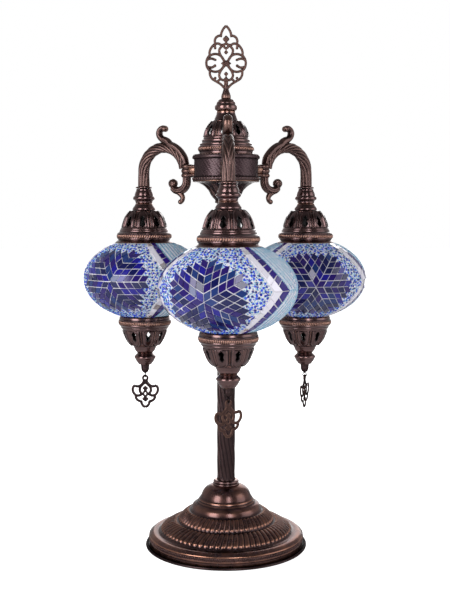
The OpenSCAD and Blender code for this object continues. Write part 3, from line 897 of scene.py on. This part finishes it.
def filigree_piece(name, parts, material, body, node_name, voxel, **wear_and_shade):
    """A flat casting: parts that overlap, welded to one skin with soft inside corners."""
    rough = make_object(name + "_rough", parts, [material])
    remesh = rough.modifiers.new("weld", "REMESH")
    remesh.mode = "VOXEL"
    remesh.voxel_size = voxel * MM
    soften = rough.modifiers.new("soften", "SMOOTH")
    soften.factor = 0.5
    soften.iterations = 1
    mesh = bpy.data.meshes.new_from_object(rough.evaluated_get(bpy.context.evaluated_depsgraph_get()))
    bpy.data.objects.remove(rough)
    mesh.name = name
    mesh.polygons.foreach_set("use_smooth", [True] * len(mesh.polygons))
    obj = bpy.data.objects.new(name, mesh)
    bpy.context.scene.collection.objects.link(obj)
    mark_wear_and_shade(obj, **wear_and_shade)
    place(obj, body, node_name)


def finial():
    wide, thick = 3.1, 3.2
    parts = []
    for line in (
        [(0, 659.3), (3.1, 655.9), (5.6, 651.2), (6.4, 647.4)],
        [(5.2, 646.6), (8.4, 647.1), (12.2, 645.2), (14.0, 641.2), (13.5, 637.4)],
        [(12.6, 637.4), (16.0, 635.3), (19.3, 630.9), (20.6, 626.6), (20.4, 623.2)],
        [(20.4, 623.4), (23.6, 618.6), (24.6, 613.4), (23.4, 608.2), (20.2, 604.0)],
        [(20.2, 604.4), (20.0, 599.2), (17.4, 594.4), (12.4, 591.2), (6.6, 587.6), (2.2, 583.0)],
        [(2.6, 636.3), (6.0, 635.9), (9.6, 637.6), (13.4, 637.2)],
        [(2.2, 636.4), (5.2, 634.4), (8.2, 630.6), (8.4, 627.4), (7.0, 623.6), (3.8, 618.6), (1.0, 615.0)],
        [(0.8, 611.6), (4.2, 607.6), (7.4, 602.8), (8.6, 598.4), (6.8, 594.4), (3.2, 592.4)],
        [(6.8, 594.2), (9.4, 592.2), (11.0, 590.6)],
        [(13.6, 636.8), (13.9, 634.4), (13.6, 632.6)],
        [(23.6, 617.6), (20.4, 619.0), (17.0, 619.0), (13.6, 617.6)],
        [(23.4, 609.2), (20.4, 608.4), (17.4, 608.4), (14.2, 610.0)],
        [(15.8, 592.6), (14.6, 593.6), (13.8, 595.0)],
    ):
        parts += mirrored(line, wide, thick)
    parts += mirrored(arc(13.4, 613.9, 10.9, 50, 310, step=2.5), wide, thick)
    parts.append(strand(arc(0, 634.7, 2.65, 0, 330, step=0.7), wide, thick, True))
    drops = [(13.6, 632.0, 1.7), (13.2, 617.6, 1.5), (13.9, 610.4, 1.9), (13.6, 595.2, 1.8)]
    for x, z, r in drops + [(6.2, 647.0, 1.5)]:
        parts += [ball(x, z, r), ball(-x, z, r)]
    parts += [
        lozenge(0, 643.0, 4.3, 4.6, thick),
        strand([(0, 640), (0, 636.6)], 2.8, thick),
        strand([(0, 632.6), (0, 628)], 1.7, thick),
        lozenge(0, 626.9, 2.7, 2.7, thick),
        lozenge(0, 613.3, 6.5, 3.9, thick + 0.6),
        lozenge(0, 600.4, 2.8, 2.9, thick),
        strand([(0, 599), (0, 594)], 1.9, thick),
        lozenge(0, 592.8, 4.2, 4.2, thick + 0.4),
        strand([(0, 591), (0, 585), (0, 581)], 5.4, thick + 0.8),
    ]
    filigree_piece(
        "finial_filigree", parts, filigree_bronze, "root", "finial",
        voxel=0.28, reach=0.9, depth=0.3,
    )
    line = [
        (0, 588.6), (1.8, 588), (2.7, 586), (3.0, 583.4), (3.6, 580.4), (4.6, 577.4), (5.7, 574.4),
        (6.1, 572.6), (6.1, 570.6), (5.6, 569.65), (2.8, 569.6), (2.8, 564), (0, 564),
    ]
    metal_piece("finial_stem", [revolve(rounded(line, 3), 64)], cast_bronze, "root", "finial")


def pendant(n):
    wide, thick = 3.7, 1.7
    parts = []
    for line in (
        [(1.9, 205.2), (2.2, 202.6), (4.6, 199.2), (8.2, 196.7), (11.8, 196.5), (15.2, 197.6)],
        [
            (14.8, 197.6), (16.6, 194.4), (16.7, 190.6), (15.2, 187.0), (12.4, 184.4), (8.4, 184.0),
            (4.4, 185.9),
        ],
        [(12.4, 184.4), (12.7, 181.4), (10.8, 178.2), (7.6, 176.4), (5.0, 175.8)],
        [(5.6, 176.4), (4.8, 172.8), (2.6, 169.6), (0, 168.6)],
        [(0, 202.0), (3.6, 198.8), (6.8, 195.0), (7.4, 190.8), (5.8, 187.4), (3.2, 185.6)],
    ):
        parts += mirrored(line, wide, thick)
    loop = [(0, 190.4), (2.3, 187.6), (2.2, 185.0), (0, 182.8), (-2.2, 185.0), (-2.3, 187.6)]
    parts += [
        strand(arc(0, 207.8, 3.1, 0, 335, step=0.8), 2.9, thick, True),
        strand([(0, 204.6), (0, 201.6)], 5.2, thick),
        strand(loop, 2.9, thick, True),
        lozenge(0, 193.9, 4.1, 3.4, thick),
        strand([(0, 193), (0, 190.2)], 4.0, thick),
        strand([(0, 183), (0, 180)], 3.8, thick),
        lozenge(0, 179.4, 4.6, 4.0, thick),
    ]
    parts = [moved(turned_about_z(p, PENDANT_TURN[n]), lamp_axis(n)) for p in parts]
    # The front pendant takes the lighter bronze and the two rear pendants the darker one: painted shade on
    # copies of one casting.
    material = filigree_bronze if n == 1 else dark_bronze
    filigree_piece(
        f"pendant_{n}_filigree", parts, material, f"charm_{n}", f"pendant_{n}",
        voxel=0.27, reach=0.8, depth=0.22,
    )


# ---- Arms ----


def volute(x, z, radius, half):
    """The rolled end of a curl: a short bar with round ends that lies across the arm."""
    line = arc(0, 0, radius, 90, 0, step=0.5) + [0, half - radius]
    line[0, 0] = 0
    line = np.concatenate([line, line[::-1] * [1, -1]])
    return moved(swapped(revolve(line, 32), [0, 2, 1]), (x, 0, z))


ARCH_RADIUS = 31
ARCH_X = ARM_REACH - ARCH_RADIUS
ARCH_Z = 481.5


def arm(n):
    """One casting: tube with flutes that sweep in over the arch, leaf, boss, scroll and tail."""
    straight = np.array([(ARM_REACH, z) for z in np.linspace(462.65, 480.5, 22)])
    arch = arc(ARCH_X, ARCH_Z, ARCH_RADIUS, 0, 174, step=0.8)
    path = np.concatenate([straight, arch])
    flutes = 9

    def rope(theta, s, length):
        t = s / length
        from_inside = np.minimum(theta, 2 * math.pi - theta)
        shift = np.where(t < 0.45, 9 * t**2, 1.8225 + 8.1 * (t - 0.45))
        turn = (from_inside + shift) * flutes / (2 * math.pi)
        across = np.abs(turn - np.floor(turn) - 0.5) * 2
        radius = 7.8 - 1.3 * t - 1.3 * across**2.2
        return radius, radius

    parts = [sweep(path, rope, 176)]

    leaf_arc = arc(ARCH_X, ARCH_Z, 35.6, 166, 99, step=1.0)
    curl = [
        (86.0, 519.4), (89.8, 521.6), (94.2, 523.4), (97.6, 526.8), (98.9, 531.2), (97.2, 535.4),
        (93.6, 537.6), (90.2, 537.2),
    ]
    leaf_path = smooth_curve([tuple(p) for p in leaf_arc[::6]] + curl, 0.9)

    def leaf(theta, s, length):
        t = s / length
        thick = np.interp(t, [0, 0.12, 0.6, 0.78, 1], [3.2, 4.6, 4.8, 4.1, 3.4])
        wide = np.interp(t, [0, 0.15, 0.5, 0.66, 0.85, 1], [5.6, 7.2, 7.0, 6.2, 5.6, 4.6])
        groove = 1 - 0.06 * (0.5 - 0.5 * np.cos(6 * theta)) * (1 - ease(t, 0.62, 0.8))
        return thick * groove, wide * groove

    parts.append(sweep(leaf_path, leaf, 90))
    parts.append(volute(90.6, 536.5, 4.1, 5.4))

    boss = [(0, 8.3), (6.9, 8.3)] + bow((7.5, 8.1), (7.5, 3.2), 1.2, 6) + [(7.3, 2.9)]
    boss += bow((7.5, 2.6), (7.5, -2.6), 1.2, 6) + [(7.3, -2.9)]
    boss += bow((7.5, -3.2), (7.5, -8.1), 1.2, 6) + [(6.9, -8.3), (0, -8.3)]
    parts.append(moved(revolve(rounded(boss, 2, 0.5), 64), (56, 0, 481.3)))

    for z in (475.9, 481.3, 486.7):
        bar = np.array([(x, z) for x in (40.6, 44, 48, 52, 56)])
        parts.append(sweep(bar, lambda theta, s, length: (2.75 + 0 * s, 6.4 + 0 * s), 40))

    neck = [(57.6, z) for z in (476, 472.4)] + [tuple(p) for p in arc(69.6, 468.5, 12, 186, 318, step=4)]
    scroll_path = smooth_curve(neck, 0.9)

    def scroll(theta, s, length):
        t = s / length
        size = np.interp(t, [0, 0.3, 0.75, 1], [5.2, 5.4, 5.3, 4.5])
        ridge = 1 - 0.11 * (0.5 - 0.5 * np.cos(8 * theta + math.pi)) ** 1.5
        return size * ridge, 1.15 * size * ridge

    parts.append(sweep(scroll_path, scroll, 96))
    whorl = lambda theta, s, r, z: -0.5 * (0.5 + 0.5 * np.cos(3 * theta + 1.1 * s)) ** 3
    eye = revolve(arc(0, 0, 6.3, 90, -90, step=0.5), 60, whorl)
    parts.append(moved(swapped(eye, [0, 2, 1]), (78.2, 0, 465.6)))

    curve = [(71.5, 457.5), (69.0, 454.0), (66.8, 452.2), (64.3, 449.0), (63.9, 446.2), (65.0, 443.4)]
    tail_path = smooth_curve(curve + [(66.9, 441.9)], 0.7)

    def tail(theta, s, length):
        t = s / length
        size = np.interp(t, [0, 0.35, 0.75, 1], [4.3, 3.7, 3.1, 2.8])
        return size, size

    parts.append(sweep(tail_path, tail, 40))
    parts.append(ball(67.2, 442.1, 3.3))
    spigot = revolve([(0, 17.5), (6.4, 17.5), (6.4, 0.3), (6.1, 0), (0, 0)], 56)
    parts.append(moved(swapped(spigot, [2, 1, 0]), (40.4, 0, 482.3)))
    stub = revolve([(0, 12), (5, 12), (5, 0.3), (4.7, 0), (3.5, 0), (3.5, 2), (0, 2)], 40)
    parts.append(moved(swapped(stub, [2, 1, 0]), (33, 0, 482.3)))
    parts = [turned_about_z(p, LAMP_AZ[n]) for p in parts]
    metal_piece(f"arm_{n}_casting", parts, cast_bronze, "root", f"arm_{n}", depth=0.5)


# ---- Turned pieces of one lamp ----


def turned_piece(part, n, body, line, material=spun_bronze, columns=96):
    """A small turned part on the axis of lamp n."""
    shape = moved(revolve(rounded(line, 3), columns, loop=True), lamp_axis(n))
    wear_and_shade = {"reach": 1.1, "depth": 0.35}
    metal_piece(f"{part}_{n}_turned", [shape], material, body, f"{part}_{n}", **wear_and_shade)


def neck_ring(n):
    line = [
        (PIPE_HOLE, 462.5), (9.4, 462.5), (10.5, 462.1), (11, 461.3), (10.7, 460.4), (9.6, 459.85),
        (PIPE_HOLE, 459.85),
    ]
    turned_piece("neck_ring", n, "root", line)


def neck_knob(n):
    line = [
        (PIPE_HOLE, 459.75), (8.9, 459.75), (9.9, 459.2), (10.4, 458.2), (10.1, 457.2), (11.0, 456.0),
        (11.9, 453.4), (12.5, 451.2), (12.3, 450.4), (13.6, 449.6), (14.5, 448.2), (14.6, 446.6),
        (14.0, 445.4), (12.6, 444.6), (11.6, 443.6), (11.2, 442.2), (11.4, 440.47), (PIPE_HOLE, 440.47),
    ]
    turned_piece("neck_knob", n, "root", line)


def lower_knob(n):
    line = [
        (2.6, 249.9), (2.6, 242.1), (9.8, 242.1), (10.3, 241.6), (10.9, 240.6), (12.4, 239.4),
        (14.1, 237.8), (14.5, 236.4), (14.2, 235.2), (12.9, 233.8), (12.7, 232.6), (11.8, 231.6),
        (11.6, 230.4), (10.3, 229.4), (10.0, 228.4), (8.9, 227.4), (8.7, 226.45), (2.4, 226.45),
        (2.4, 231.9), (0.5, 231.9), (0.5, 249.9),
    ]
    turned_piece("lower_knob", n, f"shade_{n}", line)


def drop_tip(n):
    line = [
        (0.4, 230.9), (2.2, 230.9), (2.3, 226.3), (5.8, 226.3), (5.9, 225.2), (5.5, 224.6), (5.7, 223.6),
        (5.2, 222.8), (5.5, 221.6), (5.2, 219.6), (4.5, 217.6), (3.4, 216.0), (2.2, 215.0),
        (1.3, 214.95), (1.3, 224.4), (0.4, 224.4),
    ]
    turned_piece("drop_tip", n, f"shade_{n}", line, dark_bronze, 64)


# ---- Mosaic ----

CYAN_BEADS = [
    glass(name, colour, 0.4, gloss=0.12)
    for name, colour in (
        ("bead_cyan", (0.11, 0.29, 0.44)),
        ("bead_sky", (0.21, 0.41, 0.55)),
        ("bead_steel", (0.09, 0.20, 0.38)),
        ("bead_white", (0.56, 0.56, 0.62)),
        ("bead_turquoise", (0.06, 0.25, 0.37)),
    )
]
BLUE_BEADS = [
    glass("bead_royal", (0.014, 0.050, 0.50), 0.12),
    glass("bead_cobalt", (0.012, 0.022, 0.28), 0.12),
    glass("bead_navy", (0.014, 0.010, 0.12), 0.12),
]
STAR_TILES = [
    glass("tile_navy", (0.004, 0.006, 0.055), 0.06),
    glass("tile_royal", (0.008, 0.006, 0.17), 0.06),
    glass("tile_violet", (0.014, 0.006, 0.095), 0.06),
    glass("tile_blue", (0.008, 0.024, 0.115), 0.06),
]
BORDER_TILES = [
    glass("tile_border", (0.018, 0.007, 0.14), 0.06),
    glass("tile_border_dark", (0.013, 0.006, 0.10), 0.06),
]
MIRRORS = [
    glass("mirror", (0.70, 0.69, 0.74), 0.10, metal=0.75),
    # This mirror has little metal, so its pale grey is a painted reflection of a white room.
    glass("mirror_painted_reflection", (0.60, 0.58, 0.66), 0.22, metal=0.1),
]
TILE_KINDS = STAR_TILES + BORDER_TILES + MIRRORS
BORDER_FROM = len(STAR_TILES)
MIRROR_FROM = BORDER_FROM + len(BORDER_TILES)
grout = plain("grout", (0.50, 0.49, 0.53), (0.64, 0.62, 0.66), 260, 0.75, grain=0.0002)

SURFACE_LIFT = -0.75
TILE_THICKNESS = 0.95
TILE_BEVEL = 0.14
TOP_R = 38.2
LOW_R = 32.6
STAR_SIDE = 9.6
STAR_REACH = 46.5
STAR_SECTORS = 6
STAR_STEPS = 6


class GlobeMap:
    """Finds points on a globe from an azimuth and a distance along the meridian, up from the equator."""

    def __init__(self, n):
        self.axis = lamp_axis(n)
        self.t = np.radians(np.linspace(-80, 80, 1601))
        step = np.hypot(GLOBE_RX * np.sin(self.t), GLOBE_RZ * np.cos(self.t))
        s = np.concatenate([[0], np.cumsum(0.5 * (step[1:] + step[:-1]) * np.diff(self.t))])
        self.s = s - np.interp(0, self.t, s)
        self.top = self.at_radius(TOP_R, 1)
        self.low = self.at_radius(LOW_R, -1)

    def at_radius(self, r, side):
        return float(np.interp(side * math.acos(r / GLOBE_RX), self.t, self.s))

    def at_height(self, z):
        return float(np.interp(math.asin((z - GLOBE_Z) / GLOBE_RZ), self.t, self.s))

    def radius(self, s):
        return GLOBE_RX * np.cos(np.interp(s, self.s, self.t))

    def point(self, az, s):
        """Points of the bed at azimuth az in degrees and distance s, with their normals."""
        t = np.interp(s, self.s, self.t)
        az = np.radians(az)
        nr, nz = np.cos(t) / GLOBE_RX, np.sin(t) / GLOBE_RZ
        size = np.hypot(nr, nz)
        normal = np.stack([nr / size * np.cos(az), nr / size * np.sin(az), nz / size], axis=-1)
        r = GLOBE_RX * np.cos(t)
        spot = np.stack([r * np.cos(az), r * np.sin(az), GLOBE_Z + GLOBE_RZ * np.sin(t)], axis=-1)
        return spot + self.axis + normal * SURFACE_LIFT, normal


def clockwise(p):
    """Whether an outline runs clockwise."""
    return np.sum(p[:, 0] * np.roll(p[:, 1], -1) - p[:, 1] * np.roll(p[:, 0], -1)) < 0


def inset(ring, gap):
    """A convex outline moved in by gap on every side."""
    p = np.array(ring, float)
    if clockwise(p):
        p = p[::-1]
    way = np.roll(p, -1, axis=0) - p
    way /= np.linalg.norm(way, axis=1)[:, None]
    into = np.stack([-way[:, 1], way[:, 0]], axis=1)
    out = []
    for k in range(len(p)):
        a, b = into[k - 1], into[k]
        out.append(p[k] + gap * (a + b) / (1 + a @ b))
    return np.array(out)


def tile(globe, ring, tilt):
    """A flat glass tile on the globe. ring is its outline as (azimuth, distance) and tilt leans its face."""
    ring = np.array(ring)
    middle, up = globe.point(ring[:, 0].mean(), ring[:, 1].mean())
    corners, _ = globe.point(ring[:, 0], ring[:, 1])
    east = np.cross([0, 0, 1], up)
    east /= np.linalg.norm(east)
    north = np.cross(up, east)
    flat = np.stack([(corners - middle) @ east, (corners - middle) @ north], axis=1)
    small = inset(flat, TILE_BEVEL)
    if clockwise(flat):
        flat = flat[::-1]
    lay = lambda p, height: middle + p[:, :1] * east + p[:, 1:] * north + (height + p @ tilt)[:, None] * up
    layers = ((flat, -0.6), (flat, TILE_THICKNESS - 0.12), (small, TILE_THICKNESS))
    points = np.concatenate([lay(p, height) for p, height in layers])
    m = len(flat)
    faces = [(k, (k + 1) % m, m + (k + 1) % m, m + k) for k in range(m)]
    faces += [(m + k, m + (k + 1) % m, 2 * m + (k + 1) % m, 2 * m + k) for k in range(m)]
    faces.append(tuple(range(2 * m, 3 * m)))
    return points, faces


def border_az(globe, s, inner):
    """Half of a section's width in degrees: widest at the equator and less towards the caps."""
    corner, cap, bend = (58.0, 38.5, 1.9) if inner else (77.0, 55.0, 2.5)
    reach = np.where(np.asarray(s) > 0, globe.top, -globe.low)
    return cap + (corner - cap) * np.clip(1 - np.abs(s) / reach, 0, 1) ** bend


def star_rhombus(turn, sector, i, j):
    """One rhombus of a star: i and j count its steps along the two sides of its sector."""
    a = math.radians(turn + 60 * sector)
    u = STAR_SIDE * np.array([math.cos(a), math.sin(a)])
    v = STAR_SIDE * np.array([math.cos(a + math.pi / 3), math.sin(a + math.pi / 3)])
    return np.array([u * i + v * j, u * (i + 1) + v * j, u * (i + 1) + v * (j + 1), u * i + v * (j + 1)])


def star_cells(globe, s0, turn):
    """Which rhombi of a star are laid: those inside its ragged circle and clear of the caps."""
    laid = np.zeros((STAR_SECTORS, STAR_STEPS, STAR_STEPS), bool)
    for cell in np.ndindex(laid.shape):
        ring = star_rhombus(turn, *cell)
        s = s0 + ring[:, 1]
        clear = s.max() < globe.top - 1 and s.min() > globe.low + 1
        laid[cell] = clear and np.linalg.norm(ring.mean(axis=0)) < STAR_REACH
    return laid


def in_star(x, y, laid, turn):
    """Whether places, in millimetres from a star's centre, lie on one of its rhombi."""
    angle = np.degrees(np.arctan2(y, x)) - turn
    sector = np.floor(angle / 60).astype(int)
    local = np.radians(angle - 60 * sector)
    far = np.hypot(x, y) / STAR_SIDE
    j = far * np.sin(local) / math.sin(math.pi / 3)
    i = far * np.cos(local) - 0.5 * j
    near = (i < STAR_STEPS) & (j < STAR_STEPS)
    i, j = (np.clip(steps, 0, STAR_STEPS - 1).astype(int) for steps in (i, j))
    return near & laid[sector % STAR_SECTORS, i, j]


def star_tiles(globe, az, s0, turn, laid, rng):
    """The laid rhombi of a star as glass tiles."""
    tiles = []
    for cell in np.argwhere(laid):
        ring = inset(star_rhombus(turn, *cell), 0.33 + 0.16 * rng.random()) + rng.normal(0, 0.12, 2)
        s = s0 + ring[:, 1]
        ring = np.stack([az + np.degrees(ring[:, 0] / globe.radius(s)), s], axis=1)
        kind = int(rng.choice(4, p=[0.36, 0.18, 0.26, 0.20]))
        tiles.append((tile(globe, ring, rng.normal(0, 0.05, 2)), kind))
    return tiles


def border_tiles(globe, az, side, rng):
    """A row of mirrors and a row of violet-blue squares along one side of a section."""
    tiles = []
    for half in (1, -1):
        reach = globe.top if half > 0 else -globe.low
        for inner, outer, step, mirror in ((0.0, 0.48, 9.6, True), (0.50, 1.0, 9.8, False)):
            side_az = lambda s, inside: border_az(globe, s * half, inside)
            edge = lambda s, f: (1 - f) * side_az(s, True) + f * side_az(s, False)
            s = 0.0
            while s < reach - 1:
                length = step * (0.9 + 0.2 * rng.random())
                climb = edge(np.array([s, s + 1]), 0.5) * np.pi / 180 * globe.radius(s * half)
                slope = climb[0] - climb[1]
                ds = length / math.hypot(1, slope)
                wide = (edge(s, outer) - edge(s, inner)) * np.pi / 180 * globe.radius(s * half)
                skew = wide * slope / (1 + slope**2)
                starts = (0.0, 0.0) if s == 0.0 else (s, s + skew)
                joint = 0.0 if mirror else 1.1
                ends = (min(s + ds - joint, reach), min(s + ds + skew - joint, reach))
                if ends[1] - starts[1] > 1.5 and ends[0] - starts[0] > 1.5:
                    ring = [(starts[0], inner), (starts[1], outer), (ends[1], outer), (ends[0], inner)]
                    flat = [(np.radians(edge(v, f)) * globe.radius(v * half), v) for v, f in ring]
                    across, v = inset(flat, 0.25 if mirror else 0.32).T
                    ring_az = az + side * np.degrees(across / globe.radius(v * half))
                    ring = np.stack([ring_az, v * half], axis=1)
                    first = MIRROR_FROM if mirror else BORDER_FROM
                    kind = first + int(rng.random() < (0.72 if mirror else 0.3))
                    tiles.append((tile(globe, ring, rng.normal(0, 0.02, 2)), kind))
                s += ds
    return tiles


def domes(globe, az, s, half_along, half_across, height, kinds, bearing, sides):
    """Low domes on the globe, one for each azimuth and distance, as one part."""
    theta = np.arange(sides) * 2 * math.pi / sides
    level = lambda f, h: np.stack([f * np.cos(theta), f * np.sin(theta), np.full(sides, h)], axis=1)
    flat = np.concatenate([level(1.0, 0.0), level(0.86, 0.55), [[0, 0, 1]]])
    faces = [[k, (k + 1) % sides, sides + (k + 1) % sides, sides + k] for k in range(sides)]
    tops = [[sides + k, sides + (k + 1) % sides, 2 * sides] for k in range(sides)]
    spot, up = globe.point(az, s)
    east = np.cross([0, 0, 1], up)
    east /= np.linalg.norm(east, axis=1)[:, None]
    north = np.cross(up, east)
    c, n = np.cos(bearing)[:, None], np.sin(bearing)[:, None]
    along = east * c + north * n
    across = north * c - east * n
    sizes = (half_along, half_across, height)
    x, y, h = (flat[:, k, None] * size[:, None, None] for k, size in enumerate(sizes))
    points = spot[:, None] + along[:, None] * x + across[:, None] * y + up[:, None] * h
    count = len(flat)
    every = [[v + k * count for v in f] for k in range(len(az)) for f in faces + tops]
    return points.reshape(-1, 3), every, np.repeat(kinds, 2 * sides).tolist()


def scattered(globe, spacing, rng):
    """Evenly random places over the whole globe between the caps, as azimuths and distances."""
    az, s = [], []
    jitter = 0.28
    for v in np.arange(globe.low + 0.8, globe.top - 0.6, spacing * 0.87):
        count = int(2 * math.pi * globe.radius(v) / spacing)
        offset = rng.random()
        az.append((np.arange(count) + offset + rng.uniform(-jitter, jitter, count)) * 360 / count)
        s.append(v + rng.uniform(-jitter, jitter, count) * spacing)
    return np.concatenate(az), np.concatenate(s)


def from_star(globe, az, s, star_az, star_s):
    """Millimetres across and up from the nearer of the two stars, and degrees round from it."""
    turn = (az - star_az + 90) % 180 - 90
    return np.radians(turn) * globe.radius(s), s - star_s, turn


def field_beads(globe, n, star_s, laid, rng):
    """Big blue beads on a bed of small pale ones, between the stars and the borders."""
    parts = []
    for spacing, blue in ((2.4, False), (5.0, True)):
        az, s = scattered(globe, spacing, rng)
        x, y, turn = from_star(globe, az, s, STAR_AZ[n], star_s)
        room = ~in_star(x, y, laid, STAR_TURN[n]) & (np.abs(turn) < border_az(globe, s, True) - 1.0)
        az, s = az[room], s[room]
        count = len(az)
        if blue:
            size = rng.uniform(1.45, 1.8, count)
            height = rng.uniform(1.15, 1.35, count)
            kinds = rng.choice(3, count, p=[0.42, 0.30, 0.28])
        else:
            size = rng.uniform(0.8, 1.15, count)
            height = rng.uniform(0.72, 0.88, count)
            kinds = rng.choice([0, 2, 3, 4, 5, 6, 7], count, p=[0.10, 0.10, 0.24, 0.20, 0.14, 0.14, 0.08])
        across = size * rng.uniform(0.85, 1, count)
        bearing = rng.uniform(0, math.pi, count)
        parts.append(domes(globe, az, s, size, across, height, kinds, bearing, 8 if blue else 7))
    return parts


def panel_beads(globe, n, rng):
    """Strands of beads, blue and pale by turns, beside the borders and up to the middle of each panel."""
    pitch, bead_step, strands = 2.7, 1.9, 20
    az, s, bearing, pale = [], [], [], []
    for panel in (90, 270):
        for side in (1, -1):
            for k in range(strands):
                v = np.arange(globe.low + 0.4, globe.top - 0.3, bead_step) + rng.uniform(0, 1)
                room = 90 - border_az(globe, v, False)
                lean = np.gradient(np.radians(room), v) * globe.radius(v)
                off = np.degrees((1.4 + pitch * k) * np.hypot(1, lean) / globe.radius(v))
                keep = off < room - 0.3
                place_az = STAR_AZ[n] + panel - side * (room - off)
                slope = np.gradient(np.radians(place_az), v) * globe.radius(v)
                az.append(place_az[keep])
                s.append(v[keep])
                bearing.append((math.pi / 2 - np.arctan(slope))[keep])
                pale.append(np.full(keep.sum(), k % 2 == 1))
    az, s, bearing, pale = (np.concatenate(part) for part in (az, s, bearing, pale))
    count = len(az)
    s = s + rng.uniform(-0.12, 0.12, count)
    blue_kinds = rng.choice(5, count, p=[0.52, 0.16, 0.20, 0.0, 0.12])
    pale_kinds = rng.choice([1, 3], count, p=[0.35, 0.65])
    kinds = np.where(pale, pale_kinds, blue_kinds)
    along = rng.uniform(1.1, 1.25, count)
    across = np.where(pale, 0.92, 1.28) * rng.uniform(0.92, 1.04, count)
    height = np.where(pale, 0.62, 0.72) * rng.uniform(0.92, 1.08, count)
    return domes(globe, az, s, along, across, height, kinds, bearing, 7)


def mosaic(n):
    globe = GlobeMap(n)
    rng = np.random.default_rng(40 + n)
    star_s = globe.at_height(STAR_Z[n])
    laid = star_cells(globe, star_s, STAR_TURN[n])
    tiles = []
    for section in (0, 180):
        az = STAR_AZ[n] + section
        tiles += star_tiles(globe, az, star_s, STAR_TURN[n], laid, rng)
        for side in (1, -1):
            tiles += border_tiles(globe, az, side, rng)
    parts = [(shape[0], shape[1], [kind] * len(shape[1])) for shape, kind in tiles]
    laid_tiles = make_object(f"mosaic_{n}_tiles", parts, TILE_KINDS, smooth=False, merge=False)
    field = field_beads(globe, n, star_s, laid, rng)
    beads = make_object(f"mosaic_{n}_field_beads", field, BLUE_BEADS + CYAN_BEADS, merge=False)
    strands = make_object(f"mosaic_{n}_strand_beads", [panel_beads(globe, n, rng)], CYAN_BEADS, merge=False)
    rows = []
    top = math.degrees(math.acos(34.2 / GLOBE_RX))
    low = -math.degrees(math.acos(30.2 / GLOBE_RX))
    for lift, span in ((-0.55, np.linspace(top, low, 70)), (-1.9, np.linspace(low, top, 40))):
        t = np.radians(span)
        rows += [((GLOBE_RX + lift) * math.cos(v), GLOBE_Z + (GLOBE_RZ + lift) * math.sin(v)) for v in t]
    bed = make_object(f"mosaic_{n}_grout", [moved(revolve(rows, 160, loop=True), globe.axis)], [grout])
    for obj in (laid_tiles, beads, strands, bed):
        place(obj, f"shade_{n}", f"mosaic_{n}")


# ---- Stage, lights and camera ----

# In metres
FLOOR_HALF = 12.0
LIGHT_HEIGHT = 1.5
LIGHT_CENTRE_Z = 0.85
WHITE = (1, 1, 1, 1)


def soft_light(name, bearing, distance, width, power):
    """A tall soft light that faces the lamp, at a bearing from the camera's side: positive to the right."""
    data = bpy.data.lights.new(name, "AREA")
    data.shape = "RECTANGLE"
    data.size = width
    data.size_y = LIGHT_HEIGHT
    data.energy = power
    light = bpy.data.objects.new(name, data)
    a = math.radians(bearing - 90)
    light.location = (distance * math.cos(a), distance * math.sin(a), LIGHT_CENTRE_Z)
    light.rotation_euler = (math.pi / 2, 0, a + math.pi / 2)
    bpy.context.scene.collection.objects.link(light)


def stage():
    """Pale floor and white surroundings, with two tall windows of light in front."""
    mesh = bpy.data.meshes.new("floor")
    corners = [(-FLOOR_HALF, -FLOOR_HALF, 0), (FLOOR_HALF, -FLOOR_HALF, 0)]
    corners += [(FLOOR_HALF, FLOOR_HALF, 0), (-FLOOR_HALF, FLOOR_HALF, 0)]
    mesh.from_pydata(corners, [], [(0, 1, 2, 3)])
    floor = bpy.data.objects.new("floor", mesh)
    bpy.context.scene.collection.objects.link(floor)
    material, tree, shader = new_material("pale_floor")
    seen = node(tree, "LightPath", {}, "Is Camera Ray")
    feed(tree, shader, {
        "Base Color": (0.93, 0.93, 0.93, 1),
        "Roughness": 0.85,
        "Emission Strength": node(tree, "Math", {0: seen, 1: 0.9}, operation="MULTIPLY"),
        "Emission Color": WHITE,
    })
    mesh.materials.append(material)
    soft_light("window_left", -45, 1.75, 0.85, 32)
    soft_light("window_right", 13, 1.75, 0.42, 16)
    soft_light("fill_right", 75, 1.9, 1.4, 14)
    soft_light("fill_back", 172, 2.2, 1.6, 22)
    world = bpy.data.worlds.new("studio")
    bpy.context.scene.world = world
    world.use_nodes = True
    tree = world.node_tree
    where = node(tree, "TexCoord", {}, "Generated")
    depth = to_range(tree, node(tree, "SeparateXYZ", {0: where}, "Y"), 0.13, 0.85, -0.7, 0.6)
    height = to_range(tree, node(tree, "SeparateXYZ", {0: where}, "Z"), 1.0, 0.48, 0.1, 0.9)
    both = node(tree, "Math", {0: depth, 1: height}, operation="MULTIPLY")
    seen = node(tree, "LightPath", {}, "Is Camera Ray")
    strength = node(tree, "Mix", {"Factor": seen, "A": both, "B": 1.0}, "Result")
    feed(tree, tree.nodes["Background"], {"Color": WHITE, "Strength": strength})
    bpy.context.scene.view_settings.view_transform = "Standard"


def camera():
    """The photograph's view: a little above the globes, nearly square to the front arm."""
    data = bpy.data.cameras.new("camera")
    data.lens = 59.6
    data.sensor_width = 36
    view = bpy.data.objects.new("camera", data)
    heading, pitch = math.radians(1.178), 0.083
    distance, sideways, height = 1258.2, -1.34, 422.1
    x = -distance * math.sin(heading) + sideways * math.cos(heading)
    y = -distance * math.cos(heading) - sideways * math.sin(heading)
    view.location = (x * MM, y * MM, height * MM)
    view.rotation_euler = (math.pi / 2 - pitch, 0, -heading)
    bpy.context.scene.collection.objects.link(view)
    bpy.context.scene.camera = view


camera()
stage()
finish_kept_nodes()
for build in (base_cover, base_plate, collar, pole, hub_bell, hub_drum, hub_dome, hub_cap, finial):
    build()
for n in LAMPS:
    for build in (arm, neck_ring, neck_knob, upper_cap, mosaic, lower_cap, lower_knob, drop_tip, pendant):
        build(n)
